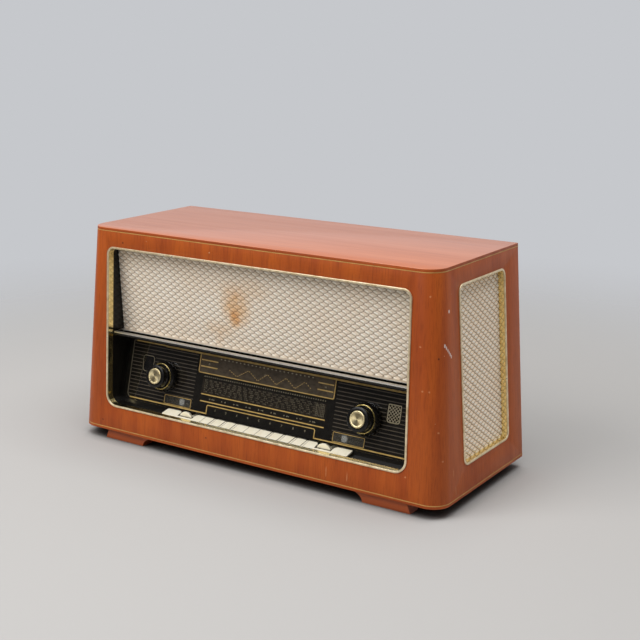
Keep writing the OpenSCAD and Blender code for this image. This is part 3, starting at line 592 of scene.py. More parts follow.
class Graph:
    """The node tree of a material or a world, built up node by node."""

    def __init__(self, owner: bpy.types.ID) -> None:
        """Clear the owner's node tree."""
        owner.use_nodes = True
        self.tree = owner.node_tree
        self.tree.nodes.clear()

    def node(self, kind: str, inputs: Optional[dict] = None, out: object = 0,
             **settings: object) -> Optional[Socket]:
        """Add one shader node.

        Args:
            kind: The node's type, without its common prefix.
            inputs: Input name or number -> the socket that feeds it, its value or its hex colour.
            out: Name or number of the output that is wanted.
            settings: The node's own attributes.

        Returns:
            That output, or None from a node that has no outputs.
        """
        node = self.tree.nodes.new("ShaderNode" + kind)
        for key, value in settings.items():
            setattr(node, key, value)
        for key, value in (inputs or {}).items():
            if isinstance(value, Socket):
                self.tree.links.new(value, node.inputs[key])
            else:
                node.inputs[key].default_value = linear(value) if isinstance(value, str) else value
        return node.outputs[out] if node.outputs else None

    def maths(self, operation: str, first: object, second: object, clamp: bool = False) -> Socket:
        """Put two values together, each of them a number or a socket."""
        return self.node("Math", {0: first, 1: second}, operation=operation, use_clamp=clamp)

    def mix(self, fac: object, first: object, second: object, blend: str = "MIX") -> Socket:
        """Lay as much of a second colour over a first one as a number or a socket says."""
        return self.node("Mix", {0: fac, 6: first, 7: second}, 2, data_type="RGBA",
                         blend_type=blend)

    def ramp(self, fac: Socket, *stops: tuple[float, object]) -> Socket:
        """Map a value to a colour; each stop is a place with a hex colour or a grey level."""
        shown = self.node("ValToRGB", {0: fac})
        elements = shown.node.color_ramp.elements
        for number, (place, value) in enumerate(stops):
            stop = elements[number] if number < len(elements) else elements.new(1.0)
            stop.position = place
            stop.color = linear(value) if isinstance(value, str) else (value, value, value, 1)
        return shown

    def noise(self, size: float | Size, detail: float = 4.0, roughness: float = 0.6) -> Socket:
        """Noise on the piece's own coordinates.

        Args:
            size: Size of the noise in millimetres, one for all or along each axis.
            detail: Number of finer octaves.
            roughness: How much the finer octaves weigh.

        Returns:
            The noise's value.
        """
        place = self.node("TexCoord", out="Object")
        scale = [1 / (MM * s) for s in (size if isinstance(size, tuple) else (size,) * 3)]
        scaled = self.node("Mapping", {"Vector": place, "Scale": scale})
        return self.node("TexNoise", {"Vector": scaled, "Scale": 1.0, "Detail": detail,
                                      "Roughness": roughness})

    def spot(self, at: Point, half: Point) -> Socket:
        """How near a point is to the middle of a spot, from 0 at its edge to 1.

        Args:
            at: Middle of the spot in the row, in metres.
            half: Half of its size along each axis, in metres.

        Returns:
            The nearness.
        """
        place = self.node("TexCoord", out="Object")
        away = self.node("VectorMath", {0: place, 1: at}, operation="SUBTRACT")
        scaled = self.node("VectorMath", {0: away, 1: half}, operation="DIVIDE")
        far = self.node("VectorMath", {0: scaled}, "Value", operation="LENGTH")
        return self.maths("SUBTRACT", 1.0, far, clamp=True)

    def openness(self, reach: float) -> Socket:
        """How open a point is, from 0 to 1, with what lies within some millimetres of it."""
        return self.node("AmbientOcclusion", {"Distance": reach * MM}, "AO", samples=8)


@dataclass(frozen=True)
class Finish:
    """A surface of one material, with its mottling, its gloss and its fine relief.

    Attributes:
        name: What it is made of and how its surface was made.
        colour: Its main colour.
        shade: The colour that its mottling goes to.
        size: Size of the mottling in millimetres, one for all or along X, Y and Z.
        roughness: Roughness where the mottling is light and where it is dark.
        relief: Height of the fine relief, in millimetres.
        metallic: 1 for a bare metal.
        coat: Weight of a clear layer on top.
        coat_roughness: Roughness of that layer.
        specular: Specular level of what isn't metal.
        glow: Strength of its own light.
    """

    name: str
    colour: str
    shade: str
    size: float | Size = 8.0
    roughness: tuple[float, float] = (0.35, 0.5)
    relief: float = 0.02
    metallic: float = 0.0
    coat: float = 0.0
    coat_roughness: float = 0.08
    specular: float = 0.5
    glow: float = 0.0

    def material(self) -> bpy.types.Material:
        """Return the material, which is made when it is first asked for."""
        known = bpy.data.materials.get(self.name)
        if known is not None:
            return known
        material = bpy.data.materials.new(self.name)
        tree = Graph(material)
        tree.node("OutputMaterial", {"Surface": self.paint(tree)})
        return material

    def tinted(self, tree: Graph, fac: Socket, low: float = 0.3, high: float = 0.7) -> Socket:
        """The colour: the shade where a value is low, the main colour where it is high."""
        return tree.ramp(fac, (low, self.shade), (high, self.colour))

    def dulled(self, tree: Graph, fac: Socket, low: float = 0.25, high: float = 0.75) -> Socket:
        """The roughness: its dull end where a value is low, its glossy end where it is high."""
        glossy, dull = self.roughness
        return tree.ramp(fac, (low, dull), (high, glossy))

    def surface(self, tree: Graph, colour: Socket, rough: Socket, height: Socket,
                strength: float = 0.6, **others: object) -> Socket:
        """The surface's shader.

        Args:
            tree: The node tree.
            colour: Base colour.
            rough: Roughness.
            height: Height of the fine relief, from 0 to 1.
            strength: How strongly the relief shades.
            others: Other inputs, with spaces written as underscores.

        Returns:
            The shader's output.
        """
        normal = tree.node("Bump", {"Height": height, "Strength": strength,
                                    "Distance": self.relief * MM})
        return tree.node("BsdfPrincipled", {
            "Base Color": colour, "Emission Color": colour, "Roughness": rough, "Normal": normal,
            "Metallic": self.metallic, "Coat Weight": self.coat,
            "Coat Roughness": self.coat_roughness, "Specular IOR Level": self.specular,
            "Emission Strength": self.glow,
            **{key.replace("_", " "): value for key, value in others.items()}})

    def paint(self, tree: Graph) -> Socket:
        """Build the node tree and return its shader."""
        mottle = tree.noise(self.size)
        return self.surface(tree, self.tinted(tree, mottle), self.dulled(tree, mottle), mottle)


@dataclass(frozen=True)
class Veneer(Finish):
    """Sliced veneer under lacquer: long bands, fine streaks along the grain, and small scars.

    Attributes:
        grain: Size of a streak, in millimetres.
        band: Size of a colour band, in millimetres.
        dark: The colour of the darkest streaks.
        scar: The colour of a knock through the lacquer.
        scuffs: Middle and half size of each worn spot in the row's metres, and its colour.
    """

    grain: Size = (1.4, 1.4, 70.0)
    band: Size = (22.0, 22.0, 500.0)
    dark: str = "#5E2A12"
    scar: str = "#D9B58C"
    scuffs: tuple[tuple[Point, Point, str], ...] = ()

    def paint(self, tree: Graph) -> Socket:
        """Build the node tree and return its shader."""
        streak = tree.noise(self.grain, 5.0, 0.65)
        band = tree.noise(self.band, 2.0, 0.5)
        streaks = tree.ramp(streak, (0.3, self.dark), (0.52, "#FFFFFF"))
        colour = tree.mix(0.35, self.tinted(tree, band, 0.3, 0.65), streaks, "MULTIPLY")
        knocks = tree.noise((2.6, 2.6, 4.0), 2.0, 0.4)
        colour = tree.mix(tree.ramp(knocks, (0.8, 0.0), (0.83, 1.0)), colour, self.scar)
        crumb = tree.noise((1.5, 1.5, 5.0))
        for at, half, shown in self.scuffs:
            torn = tree.maths("MULTIPLY", crumb, tree.spot(at, half))
            colour = tree.mix(tree.ramp(torn, (0.16, 0.0), (0.3, 0.85)), colour, shown)
        return self.surface(tree, colour, self.dulled(tree, band, 0.3, 0.7), streak, 0.25)

    def worn(self, place: Matrix, *spots: tuple[Point, Point, str]) -> "Veneer":
        """The same veneer with worn spots.

        Args:
            place: Matrix from the spots' millimetres to the row's metres.
            spots: Middle and half size of each spot in millimetres, and its colour.

        Returns:
            The worn veneer.
        """
        return replace(self, scuffs=tuple((place @ Vector(at), [MM * half for half in size], shown)
                                          for at, size, shown in spots))


@dataclass(frozen=True)
class WovenCloth(Finish):
    """Woven speaker cloth, with painted shade and highlight: light on its raised cells, lightest
    on their threads, dark in the grooves between them.

    Attributes:
        groove: The painted shade at the bottom of a groove.
        thread: The colour of the thick thread on each cell, lighter than the cell as a painted
            highlight.
        fleck: The colour of dark fibres.
        stains: Middle and half size of each stain in the row's metres, and how strong it is.
        stain: The colour of a stain.
    """

    size: float | Size = 60.0
    roughness: tuple[float, float] = (0.75, 0.9)
    relief: float = 0.12
    groove: str = "#A39684"
    thread: str = "#FFFCF4"
    fleck: str = "#B8AC9A"
    stains: tuple[tuple[Point, Point, float], ...] = ()
    stain: str = "#EFC68C"

    def paint(self, tree: Graph) -> Socket:
        """Build the node tree and return its shader."""
        height = tree.node("Attribute", out="Fac", attribute_name="relief")
        mottle = tree.noise(self.size)
        fibre = tree.noise(0.5, 3.0, 0.7)
        # Painted shade and highlight by height: dark in the grooves, light on the cells, lightest
        # on top of the threads
        colour = tree.ramp(height, (0.0, self.groove), (0.4, self.shade), (0.68, self.colour),
                           (0.74, self.colour), (0.96, self.thread))
        flecks = tree.ramp(fibre, (0.3, self.fleck), (0.6, "#FFFFFF"))
        colour = tree.mix(0.35, colour, flecks, "MULTIPLY")
        aged = tree.ramp(mottle, (0.35, 0.12), (0.6, 0.0))
        colour = tree.mix(aged, colour, self.stain, "MULTIPLY")
        seep = tree.noise(9.0, 3.0, 0.5)
        for at, half, strength in self.stains:
            wet = tree.maths("MULTIPLY", seep, tree.spot(at, half))
            wet = tree.ramp(wet, (0.02, 0.0), (0.38, strength))
            colour = tree.mix(wet, colour, self.stain, "MULTIPLY")
        return self.surface(tree, colour, self.dulled(tree, fibre, 0.3, 0.7), fibre,
                            Sheen_Weight=0.15)


@dataclass(frozen=True)
class SpunBrass(Finish):
    """Brass faced on a lathe: fine rings that draw the light into a bow tie."""

    def paint(self, tree: Graph) -> Socket:
        """Build the node tree and return its shader."""
        stored = tree.node("Attribute", out="Vector", attribute_name="spin")
        along = tree.node("VectorTransform", {0: stored}, vector_type="VECTOR",
                          convert_from="OBJECT", convert_to="WORLD")
        mottle = tree.noise(self.size)
        return self.surface(tree, self.tinted(tree, mottle, 0.35, 0.65), self.dulled(tree, mottle),
                            mottle, 0.2, Anisotropic=0.75, Tangent=along)


@dataclass(frozen=True)
class MouldedResin(Finish):
    """Moulded resin, with painted shade in its corners and along the seams between the pieces.

    Attributes:
        grime: The colour of the painted shade in corners and along seams.
        reach: How far from a corner the painted shade reaches, in millimetres.
        seams: Places across the set where pieces meet, in millimetres.
        line: Width of the painted shade along such a seam.
    """

    grime: str = "#3E3424"
    reach: float = 3.0
    seams: tuple[float, ...] = ()
    line: float = 1.5

    def paint(self, tree: Graph) -> Socket:
        """Build the node tree and return its shader."""
        mottle = tree.noise(self.size)
        # Painted shade: darker where little of the sky is open, in corners and gaps
        corners = tree.ramp(tree.openness(self.reach), (0.7, 1.0), (0.97, 0.0))
        colour = tree.mix(corners, self.tinted(tree, mottle), self.grime)
        # Painted shade: a dark line along each seam beside the ribs between the keys
        for x in self.seams:
            near = tree.spot((x * MM, 0, 0), (self.line / 2 * MM, FAR, FAR))
            colour = tree.mix(tree.ramp(near, (0.1, 0.0), (0.6, 0.75)), colour, self.grime)
        return self.surface(tree, colour, self.dulled(tree, mottle), mottle)


@dataclass(frozen=True)
class LampLit(Finish):
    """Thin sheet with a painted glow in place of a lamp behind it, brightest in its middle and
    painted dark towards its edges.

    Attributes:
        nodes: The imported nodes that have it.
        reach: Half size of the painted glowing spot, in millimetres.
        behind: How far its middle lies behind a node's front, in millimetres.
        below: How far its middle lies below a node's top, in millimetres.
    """

    nodes: tuple[str, ...] = ()
    reach: Size = (7.5, 5.0, 7.5)
    behind: float = 1.5
    below: float = 5.0

    def paint(self, tree: Graph) -> Socket:
        """Build the node tree and return its shader."""
        # Painted light: a glowing spot round each node's middle, falling off to the dark painted
        # shade
        painted_glow = 0.0
        for name in self.nodes:
            low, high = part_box(name)
            middle = ((low[0] + high[0]) / 2, low[1] + self.behind * MM, high[2] - self.below * MM)
            near = tree.spot(middle, [MM * half for half in self.reach])
            painted_glow = tree.maths("MAXIMUM", near, painted_glow)
        rough = self.dulled(tree, tree.noise(self.size))
        return self.surface(tree, self.tinted(tree, painted_glow, 0.05, 0.5), rough, painted_glow)


@dataclass(frozen=True)
class ClearGlass(Finish):
    """Clear glass that lets light through to what lies behind it."""

    ior: float = 1.5

    def paint(self, tree: Graph) -> Socket:
        """Build the node tree and return its shader."""
        mottle = tree.noise(self.size)
        glass = self.surface(tree, self.tinted(tree, mottle), self.dulled(tree, mottle, 0.3, 0.7),
                             mottle, 0.1, Transmission_Weight=1.0, IOR=self.ior)
        rays = tree.node("LightPath").node.outputs
        soft = tree.maths("MAXIMUM", rays["Is Shadow Ray"], rays["Is Diffuse Ray"])
        return tree.node("MixShader", {0: soft, 1: glass, 2: tree.node("BsdfTransparent")})


@dataclass(frozen=True)
class PrintedInk(Finish):
    """Ink printed on the back of the glass, which has no gloss of its own."""

    size: float | Size = (14.0, 14.0, 5.0)
    roughness: tuple[float, float] = (0.5, 0.6)
    specular: float = 0.0


@dataclass(frozen=True)
class TintedFilm(PrintedInk):
    """Printed ink thin enough for what lies behind it to show faintly."""

    size: float | Size = (8.0, 8.0, 5.0)
    cover: float = 0.8

    def paint(self, tree: Graph) -> Socket:
        """Build the node tree and return its shader."""
        mottle = tree.noise(self.size)
        colour = self.tinted(tree, mottle, 0.35, 0.6)
        return self.surface(tree, colour, self.dulled(tree, mottle, 0.3, 0.7), mottle, 0.1,
                            Alpha=self.cover)


# Mahogany veneer, sliced, stained and lacquered satin, with an upright grain
SIDE_VENEER = Veneer("mahogany_veneer_satin_lacquer", "#B05418", "#9C4413", roughness=(0.42, 0.5),
                     relief=0.03, specular=0.22, coat=0.08, coat_roughness=0.3)
# The same veneer polished on the top board, with its grain along the cabinet, painted lighter than
# the walls as a stand-in for the sheen on the top
TOP_VENEER_PAINTED_SHEEN = Veneer("mahogany_veneer_polished", "#CC7444", "#C06A3C", grain=(90.0, 1.6, 1.6),
                    band=(600.0, 30.0, 30.0), roughness=(0.3, 0.36), relief=0.02, coat=0.5,
                    coat_roughness=0.16, dark="#A05A34")
# Edge of the base board, stained and lacquered
BASE_WOOD = Veneer("mahogany_board_stained", "#AC5018", "#974213", grain=(70.0, 1.6, 1.6),
                   band=(300.0, 20.0, 8.0), roughness=(0.42, 0.5), specular=0.3)
# Solid beech feet, stained brown and sealed
FOOT_WOOD = Veneer("beech_feet_stained", "#A04A1C", "#823A16", grain=(60.0, 1.6, 1.6),
                   band=(300.0, 12.0, 12.0), roughness=(0.45, 0.55), relief=0.04)
# Maple stringing let into the joints and scraped flush
STRINGING = Finish("maple_stringing_scraped", "#C99B55", "#A87A3A", size=(14.0, 14.0, 3.0),
                   roughness=(0.4, 0.5))
# Raw plywood edge, sawn
PLYWOOD = Finish("birch_plywood_sawn", "#C9A26A", "#8E6A3C", size=(60.0, 60.0, 1.6),
                 roughness=(0.6, 0.75), relief=0.06)
# Bead of the trims, stamped brass worn pale
WORN_BEAD = Finish("brass_bead_worn", "#F8E8C6", "#CDB78C", size=9.0, roughness=(0.25, 0.4),
                   metallic=0.6, relief=0.03)
# Flange of the trims, rolled brass under clear lacquer
GILT_FLANGE = Finish("brass_flange_lacquered", "#FFEDAE", "#F2DA98", size=30.0,
                     roughness=(0.1, 0.18), metallic=1.0, relief=0.01)
# Brass rim of the knobs, polished
KNOB_RIM = Finish("brass_rim_polished", "#D8C58A", "#B9A15C", size=6.0, roughness=(0.22, 0.32),
                  metallic=1.0, relief=0.01)
# Brass caps of the knobs, faced on the lathe
KNOB_CAP = SpunBrass("brass_cap_spun", "#F0E0B4", "#DFCB98", size=5.0, roughness=(0.32, 0.38),
                     metallic=1.0, relief=0.005)
# Speaker cloth in front, woven of cream and beige threads
FRONT_CLOTH = WovenCloth("speaker_cloth_woven", "#EADCCA", "#DACBB8")
# The same cloth at the sides, in a paler copy that stands in for light on it, with darker painted
# shade in its grooves
SIDE_CLOTH = WovenCloth("side_cloth_woven", "#FFEBD2", "#F2DABC", groove="#86704F")
# Black surround, moulded and polished
BLACK_MOULDING = Finish("polystyrene_black_moulded", "#1B1916", "#13110F", size=30.0,
                        roughness=(0.16, 0.24), coat=0.05, relief=0.01, specular=0.25)
# Black knobs, turned phenolic polished
BLACK_KNOB = Finish("phenolic_black_polished", "#171513", "#0D0C0B", size=6.0,
                    roughness=(0.2, 0.32), relief=0.01, specular=0.35)
# Ledge rail, rolled aluminium strip brushed along its length
BRIGHT_RAIL = Finish("aluminium_strip_brushed", "#FBF6EE", "#E6E0D6", size=(60.0, 0.8, 0.8),
                     roughness=(0.36, 0.44), metallic=1.0, relief=0.005)
# Groove of the rail, painted black
BLACK_PAINT = Finish("black_paint_brushed", "#12110F", "#0A0908", size=12.0, roughness=(0.6, 0.7),
                     specular=0.0)
# Dial glass, float glass with a clean face
DIAL_GLASS = ClearGlass("float_glass_clear", "#FFFFFF", "#F6FAF8", size=80.0,
                        roughness=(0.0, 0.03), relief=0.0)
# Black ground of the dial, screen printed on the back of the glass
BLACK_PRINT = PrintedInk("dial_ink_black_printed", "#1E1C18", "#151310", size=10.0)
# Gold lines of the dial, screen printed bronze ink
GOLD_PRINT = PrintedInk("dial_ink_gold_printed", "#D0AF6E", "#B59452", size=6.0,
                        roughness=(0.45, 0.6))
# Grey lines and marks of the dial, screen printed
GREY_PRINT = PrintedInk("dial_ink_grey_printed", "#5A5146", "#4A433A")
# Cream marks and numbers of the dial, screen printed
CREAM_PRINT = PrintedInk("dial_ink_cream_printed", "#A79C84", "#8A8068")
# Small marks among the stations, screen printed in a dull brown
DIM_PRINT = PrintedInk("dial_ink_brown_printed", "#6E6656", "#585042")
# Brown film over the scales, printed thin
SCALE_FILM = TintedFilm("dial_film_brown_printed", "#302A22", "#24201A", cover=0.92)
# Brown film over the upper band, printed thin
BAND_FILM = TintedFilm("dial_film_light_brown_printed", "#544A3E", "#443C32", cover=0.93)
# Grey film over the tone windows, printed thin
WINDOW_FILM = TintedFilm("dial_film_grey_printed", "#4A463E", "#3A3630", cover=0.62)
# Dark film over the magic eye, printed thin
EYE_FILM = TintedFilm("dial_film_dark_printed", "#1C1A17", "#141210", cover=0.72)
# Keys and wheels, urea resin moulded and yellowed with age, with painted shade in their corners
IVORY = MouldedResin("urea_resin_ivory_moulded", "#FBF4E0", "#EEE4C8", size=10.0,
                     roughness=(0.3, 0.42), relief=0.01)
# Light flag behind a tone window, white plastic, with a painted glow in its middle in place of a
# lamp behind it
WHITE_FLAG = LampLit("celluloid_white_cut", "#F4F4EE", "#3A3A38", roughness=(0.4, 0.5), glow=1.3,
                     nodes=("bass_indicator", "treble_indicator"), relief=0.0)
# Pointers, brass wire painted red
POINTER_RED = Finish("brass_wire_painted_red", "#A82018", "#861510", roughness=(0.35, 0.45))
# Drive cords, braided and waxed
DRIVE_CORD = Finish("cotton_cord_braided", "#B9AA86", "#7E7050", size=0.6, roughness=(0.8, 0.9),
                    relief=0.1)
# Light box, folded sheet steel painted white
LIGHT_BOX = Finish("sheet_steel_painted_white", "#CFCBBE", "#B5B09F", size=24.0,
                   roughness=(0.4, 0.5))
# Bulbs of the dial lamps, blown glass
LAMP_GLASS = Finish("lamp_glass_blown", "#E6E0C8", "#CFC7A8", size=5.0, roughness=(0.08, 0.15),
                    relief=0.0)
# Shafts, rods and frames, drawn and plated steel
STEEL = Finish("steel_rod_plated", "#A9A9A6", "#8B8B87", size=(12.0, 2.0, 2.0),
               roughness=(0.28, 0.42), metallic=1.0)
# Volume control, carbon track under pressed paper board
CARBON = Finish("paper_board_pressed_brown", "#5A3A20", "#452B16", size=4.0, roughness=(0.5, 0.62))
# Tuning capacitor, aluminium plates and frame
CAPACITOR = Finish("aluminium_sheet_stamped", "#BDBDB8", "#9C9C97", size=(16.0, 16.0, 1.0),
                   roughness=(0.35, 0.5), metallic=1.0)
# Aerial rod, ferrite ground to size
FERRITE = Finish("ferrite_rod_ground", "#2C2A2A", "#1E1C1C", size=3.0, roughness=(0.45, 0.6))
# Valves and magic eye, blown glass with a grey getter film
TUBE_GLASS = Finish("tube_glass_blown", "#6E7874", "#3C4441", size=(14.0, 14.0, 20.0),
                    roughness=(0.05, 0.12), relief=0.0, coat=0.5, coat_roughness=0.03)
# Shade round the magic eye, black card
BLACK_CARD = Finish("card_black_folded", "#151413", "#0D0C0C", roughness=(0.75, 0.85))
# Chassis, cadmium plated sheet steel
CHASSIS = Finish("sheet_steel_cadmium_plated", "#A8A492", "#8A8674", size=26.0,
                 roughness=(0.38, 0.52), metallic=1.0)
# Transformers, stacked laminations dipped in varnish
LAMINATIONS = Finish("iron_laminations_varnished", "#4A423A", "#2A2520", size=(90.0, 0.8, 90.0),
                     roughness=(0.4, 0.55), relief=0.12, metallic=0.6)
# Screening cans, drawn aluminium
DRAWN_CAN = Finish("aluminium_can_drawn", "#BFC0BE", "#A2A3A1", size=(3.0, 3.0, 40.0),
                   roughness=(0.3, 0.42), metallic=1.0)
# Back cover, hardboard pressed and punched
HARDBOARD = Finish("hardboard_pressed", "#8C6A45", "#6C4E30", size=1.4, roughness=(0.7, 0.85),
                   relief=0.12)
# Screws of the back, turned brass gone dull
SCREW_BRASS = Finish("brass_screw_turned", "#B9A36A", "#8C7844", size=2.0, roughness=(0.35, 0.5),
                     metallic=1.0)
# Sockets and inlet, laminated paper board, sawn
SOCKET_BOARD = Finish("laminated_board_brown_sawn", "#3E2C20", "#2C1E14", size=(14.0, 1.0, 14.0),
                      roughness=(0.4, 0.55))
# Loudspeakers, pressed steel basket painted grey
SPEAKER_STEEL = Finish("pressed_steel_painted_grey", "#6A6C6C", "#54565A", size=14.0,
                       roughness=(0.4, 0.55))


@dataclass(frozen=True)
class Wear:
    """Marks of one kind in the lacquer of the walls.

    Attributes:
        colour: What shows there.
        half: Half size of a mark along each axis, in millimetres.
        places: Middle of each mark, in millimetres.
    """

    colour: str
    half: Size
    places: tuple[Size, ...]


BARE_WOOD = "#DCD3CC"
PALE_WOOD = "#BE7C50"
DARK_STAIN = "#56260F"
# A long rub at the front corner with a short one above it, then chips, scratches and specks
WEAR = (
    Wear(BARE_WOOD, (4, 2.4, 4.4),
         tuple((303.6 + 0.4 * i, 29 + 2.8 * i, 216 - 3.4 * i) for i in range(6))),
    Wear(BARE_WOOD, (3, 3, 4), ((302, 41, 259),)),
    Wear(PALE_WOOD, (2.6, 2.6, 2.2),
         ((287, 17, 281), (278, 10, 215), (284, 8, 157), (293, 10, 157), (306, 14, 103),
          (312, 17, 64), (265, 2, 37))),
    Wear(PALE_WOOD, (1.5, 1.5, 13), ((141, 1, 18), (175, 1, 17), (317, 39, 42), (319, 44, 17))),
    Wear(DARK_STAIN, (2.6, 2.6, 2.6),
         ((300, 20, 200), (-232, 14, 296), (-274, 1, 15), (-70, 1, 25))),
)


@dataclass
class Cabinet:
    """Wooden case: a bent shell between two boards, with stringing and feet."""

    form: Form
    corner_steps: int = 16
    line: float = 1.2
    line_stands: float = 0.08
    line_deep: float = 1.5
    edge: float = 0.5
    plug_gap: float = 0.2
    cover_y: float = 245.0
    foot_length: float = 75.0
    foot_width: float = 22.0
    foot_in: float = 5.0
    foot_side: float = 48.0
    foot_slant: float = 6.0
    foot_cove: float = 25.0

    def block(self, name: str, inset: float, rear: float) -> Workpiece:
        """The case's tapered block: a cube with leaning sides and two round front edges.

        Args:
            name: Name of the piece.
            inset: How far it lies inside the outer face.
            rear: Depth of its rear face.

        Returns:
            The block, from the cabinet's bottom to its top.
        """
        form = self.form
        half, top = form.half_width(0) - inset, form.half_width(form.height) - inset
        piece = Workpiece.cube(name, (-half, inset, 0), (half, rear, form.height))
        piece.pick(Part.VERTS, lambda p, n: p.z > form.height / 2).stretch(x=top / half)
        piece.pick(Part.VERTS, lambda p, n: p.z > form.height / 2 and p.y < rear / 2)
        piece.move(y=form.front_lean)
        piece.pick(Part.EDGES, lambda p, d: abs(d.z) > 0.9 and p.y < rear / 2)
        return piece.bevel(form.corner - inset, self.corner_steps)

    def slice(self, name: str, inset: float, rear: float, z0: float, z1: float) -> Workpiece:
        """The part of the block between two heights."""
        piece = self.block(name, inset, rear)
        if z1 < self.form.height:
            piece.bisect((0, 0, z1), (0, 0, 1))
        if z0 > 0:
            piece.bisect((0, 0, z0), (0, 0, -1))
        return piece.outwards()

    def shell(self) -> None:
        """Bend the front and the sides from one board and cut the three openings."""
        form = self.form
        walls = self.slice("cabinet_walls", 0, form.depth, form.lip, form.height - form.lip)
        walls.minus(self.block("hollow", form.wall, form.depth + PAST))
        front_cut = form.front_opening.slab("front_cut", -PAST, form.wall + PAST)
        walls.minus(front_cut.turned(form.front))
        for side in form.sides:
            side_cut = form.side_opening.slab("side_cut", -PAST, form.wall + PAST)
            walls.minus(side_cut.turned(side))
        walls.soften(self.edge)
        walls.line_with(PLYWOOD, lambda p, n: n.y > 0.9 and p.y > form.depth - self.edge)
        spots = [(at, wear.half, wear.colour) for wear in WEAR for at in wear.places]
        walls.done(form.row, SIDE_VENEER.worn(form.row, *spots), "front_veneer",
                   ["cabinet_shell"])

    def board(self, name: str, z0: float, z1: float, plug: tuple[float, float], edge: float,
              steps: int) -> Workpiece:
        """One board between two heights, with eased edges and a plug that fits the walls."""
        board = self.slice(name, 0, self.form.depth, z0, z1).soften(edge, steps)
        return board.join(self.slice("plug", self.form.wall + self.plug_gap, self.cover_y, *plug))

    def boards(self) -> None:
        """Make the top board, whose edges are stained like the base, and the base board."""
        form = self.form
        top = self.board("top_board", form.height - form.lip, form.height,
                         plug=(form.height - form.board, form.height - form.lip / 2),
                         edge=0.4, steps=2)
        top.line_with(BASE_WOOD, lambda p, n: n.z < 0.3)
        top.done(form.row, TOP_VENEER_PAINTED_SHEEN, "top_veneer", ["cabinet_top"])
        base = self.board("base_board", 0, form.lip, plug=(form.lip / 2, form.board),
                          edge=0.8, steps=3)
        base.done(form.row, BASE_WOOD, "base_wood", ["cabinet_base"])

    def stringing(self) -> None:
        """Let a light line into each joint between the walls and a board."""
        form = self.form
        for name, z in (("stringing_low", form.lip), ("stringing_top", form.height - form.lip)):
            band = self.slice(name, -self.line_stands, form.depth, z - self.line / 2,
                              z + self.line / 2)
            band.minus(self.block("inside", self.line_deep, form.depth + PAST))
            band.done(form.row, STRINGING)

    def feet(self) -> None:
        """Cut one foot with a coved inner end, and set a copy under each corner."""
        form = self.form
        outer = form.width / 2 - self.foot_side
        cove = self.foot_cove
        inner = outer - self.foot_length - cove
        foot = Workpiece.cube("feet", (inner, self.foot_in, -form.foot),
                              (outer, self.foot_in + self.foot_width, 0))
        foot.pick(Part.VERTS, lambda p, n: p.z > -TOUCH and p.x > outer - TOUCH)
        foot.move(x=-self.foot_slant)
        cut = Workpiece.rod("cove", cove, -self.foot_width, self.foot_width)
        cut.pick(Part.VERTS).stretch(y=form.foot / cove)
        foot.minus(cut.turned(shift(inner, self.foot_in + self.foot_width / 2, -form.foot)
                              @ turn(90, "X")))
        foot.soften(self.edge)
        rear = foot.copied().turned(shift(0, form.depth, 0) @ Matrix.Scale(-1, 4, (0, 1, 0)))
        foot.join(rear)
        foot.join(foot.copied().turned(MIRROR))
        foot.done(form.row, FOOT_WOOD, "foot_wood", ["feet"])

    def build(self) -> None:
        """Make the whole case."""
        self.shell()
        self.boards()
        self.stringing()
        self.feet()


@dataclass
class Trims:
    """Stamped brass round the three openings: a rounded bead on the face and a flange."""

    form: Form
    bead_width: float = 3.2
    bead_height: float = 1.5
    bead_round: float = 1.0
    sunk: float = 0.9
    sheet: float = 0.8

    def build(self) -> None:
        """Make the front trim and the two side trims."""
        form = self.form
        self.trim("front", form.front_opening, form.flange, [form.front], "front_trim")
        self.trim("side", form.side_opening, form.wall, form.sides, "side_trims")

    def trim(self, name: str, opening: Outline, deep: float, places: Iterable[Matrix],
             node: str) -> None:
        """Make one trim and set a copy at each place.

        Args:
            name: Start of the pieces' names.
            opening: The opening that it lines.
            deep: Depth of its flange.
            places: Frames of the openings.
            node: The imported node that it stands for.
        """
        bead = opening.grown(self.bead_width / 2).ring(f"{name}_bead", self.bead_width,
                                                       self.sunk, -self.bead_height)
        bead.soften(self.bead_round, segments=4, angle=60)
        flange = opening.ring(f"{name}_flange", self.sheet, 0, deep)
        for place in places:
            bead.copied().done(self.form.row @ place, WORN_BEAD, "gilt_trim", [node])
            flange.copied().done(self.form.row @ place, GILT_FLANGE, "gilt_trim", [node])
        for pattern in (bead, flange):
            bpy.data.objects.remove(pattern.thing)


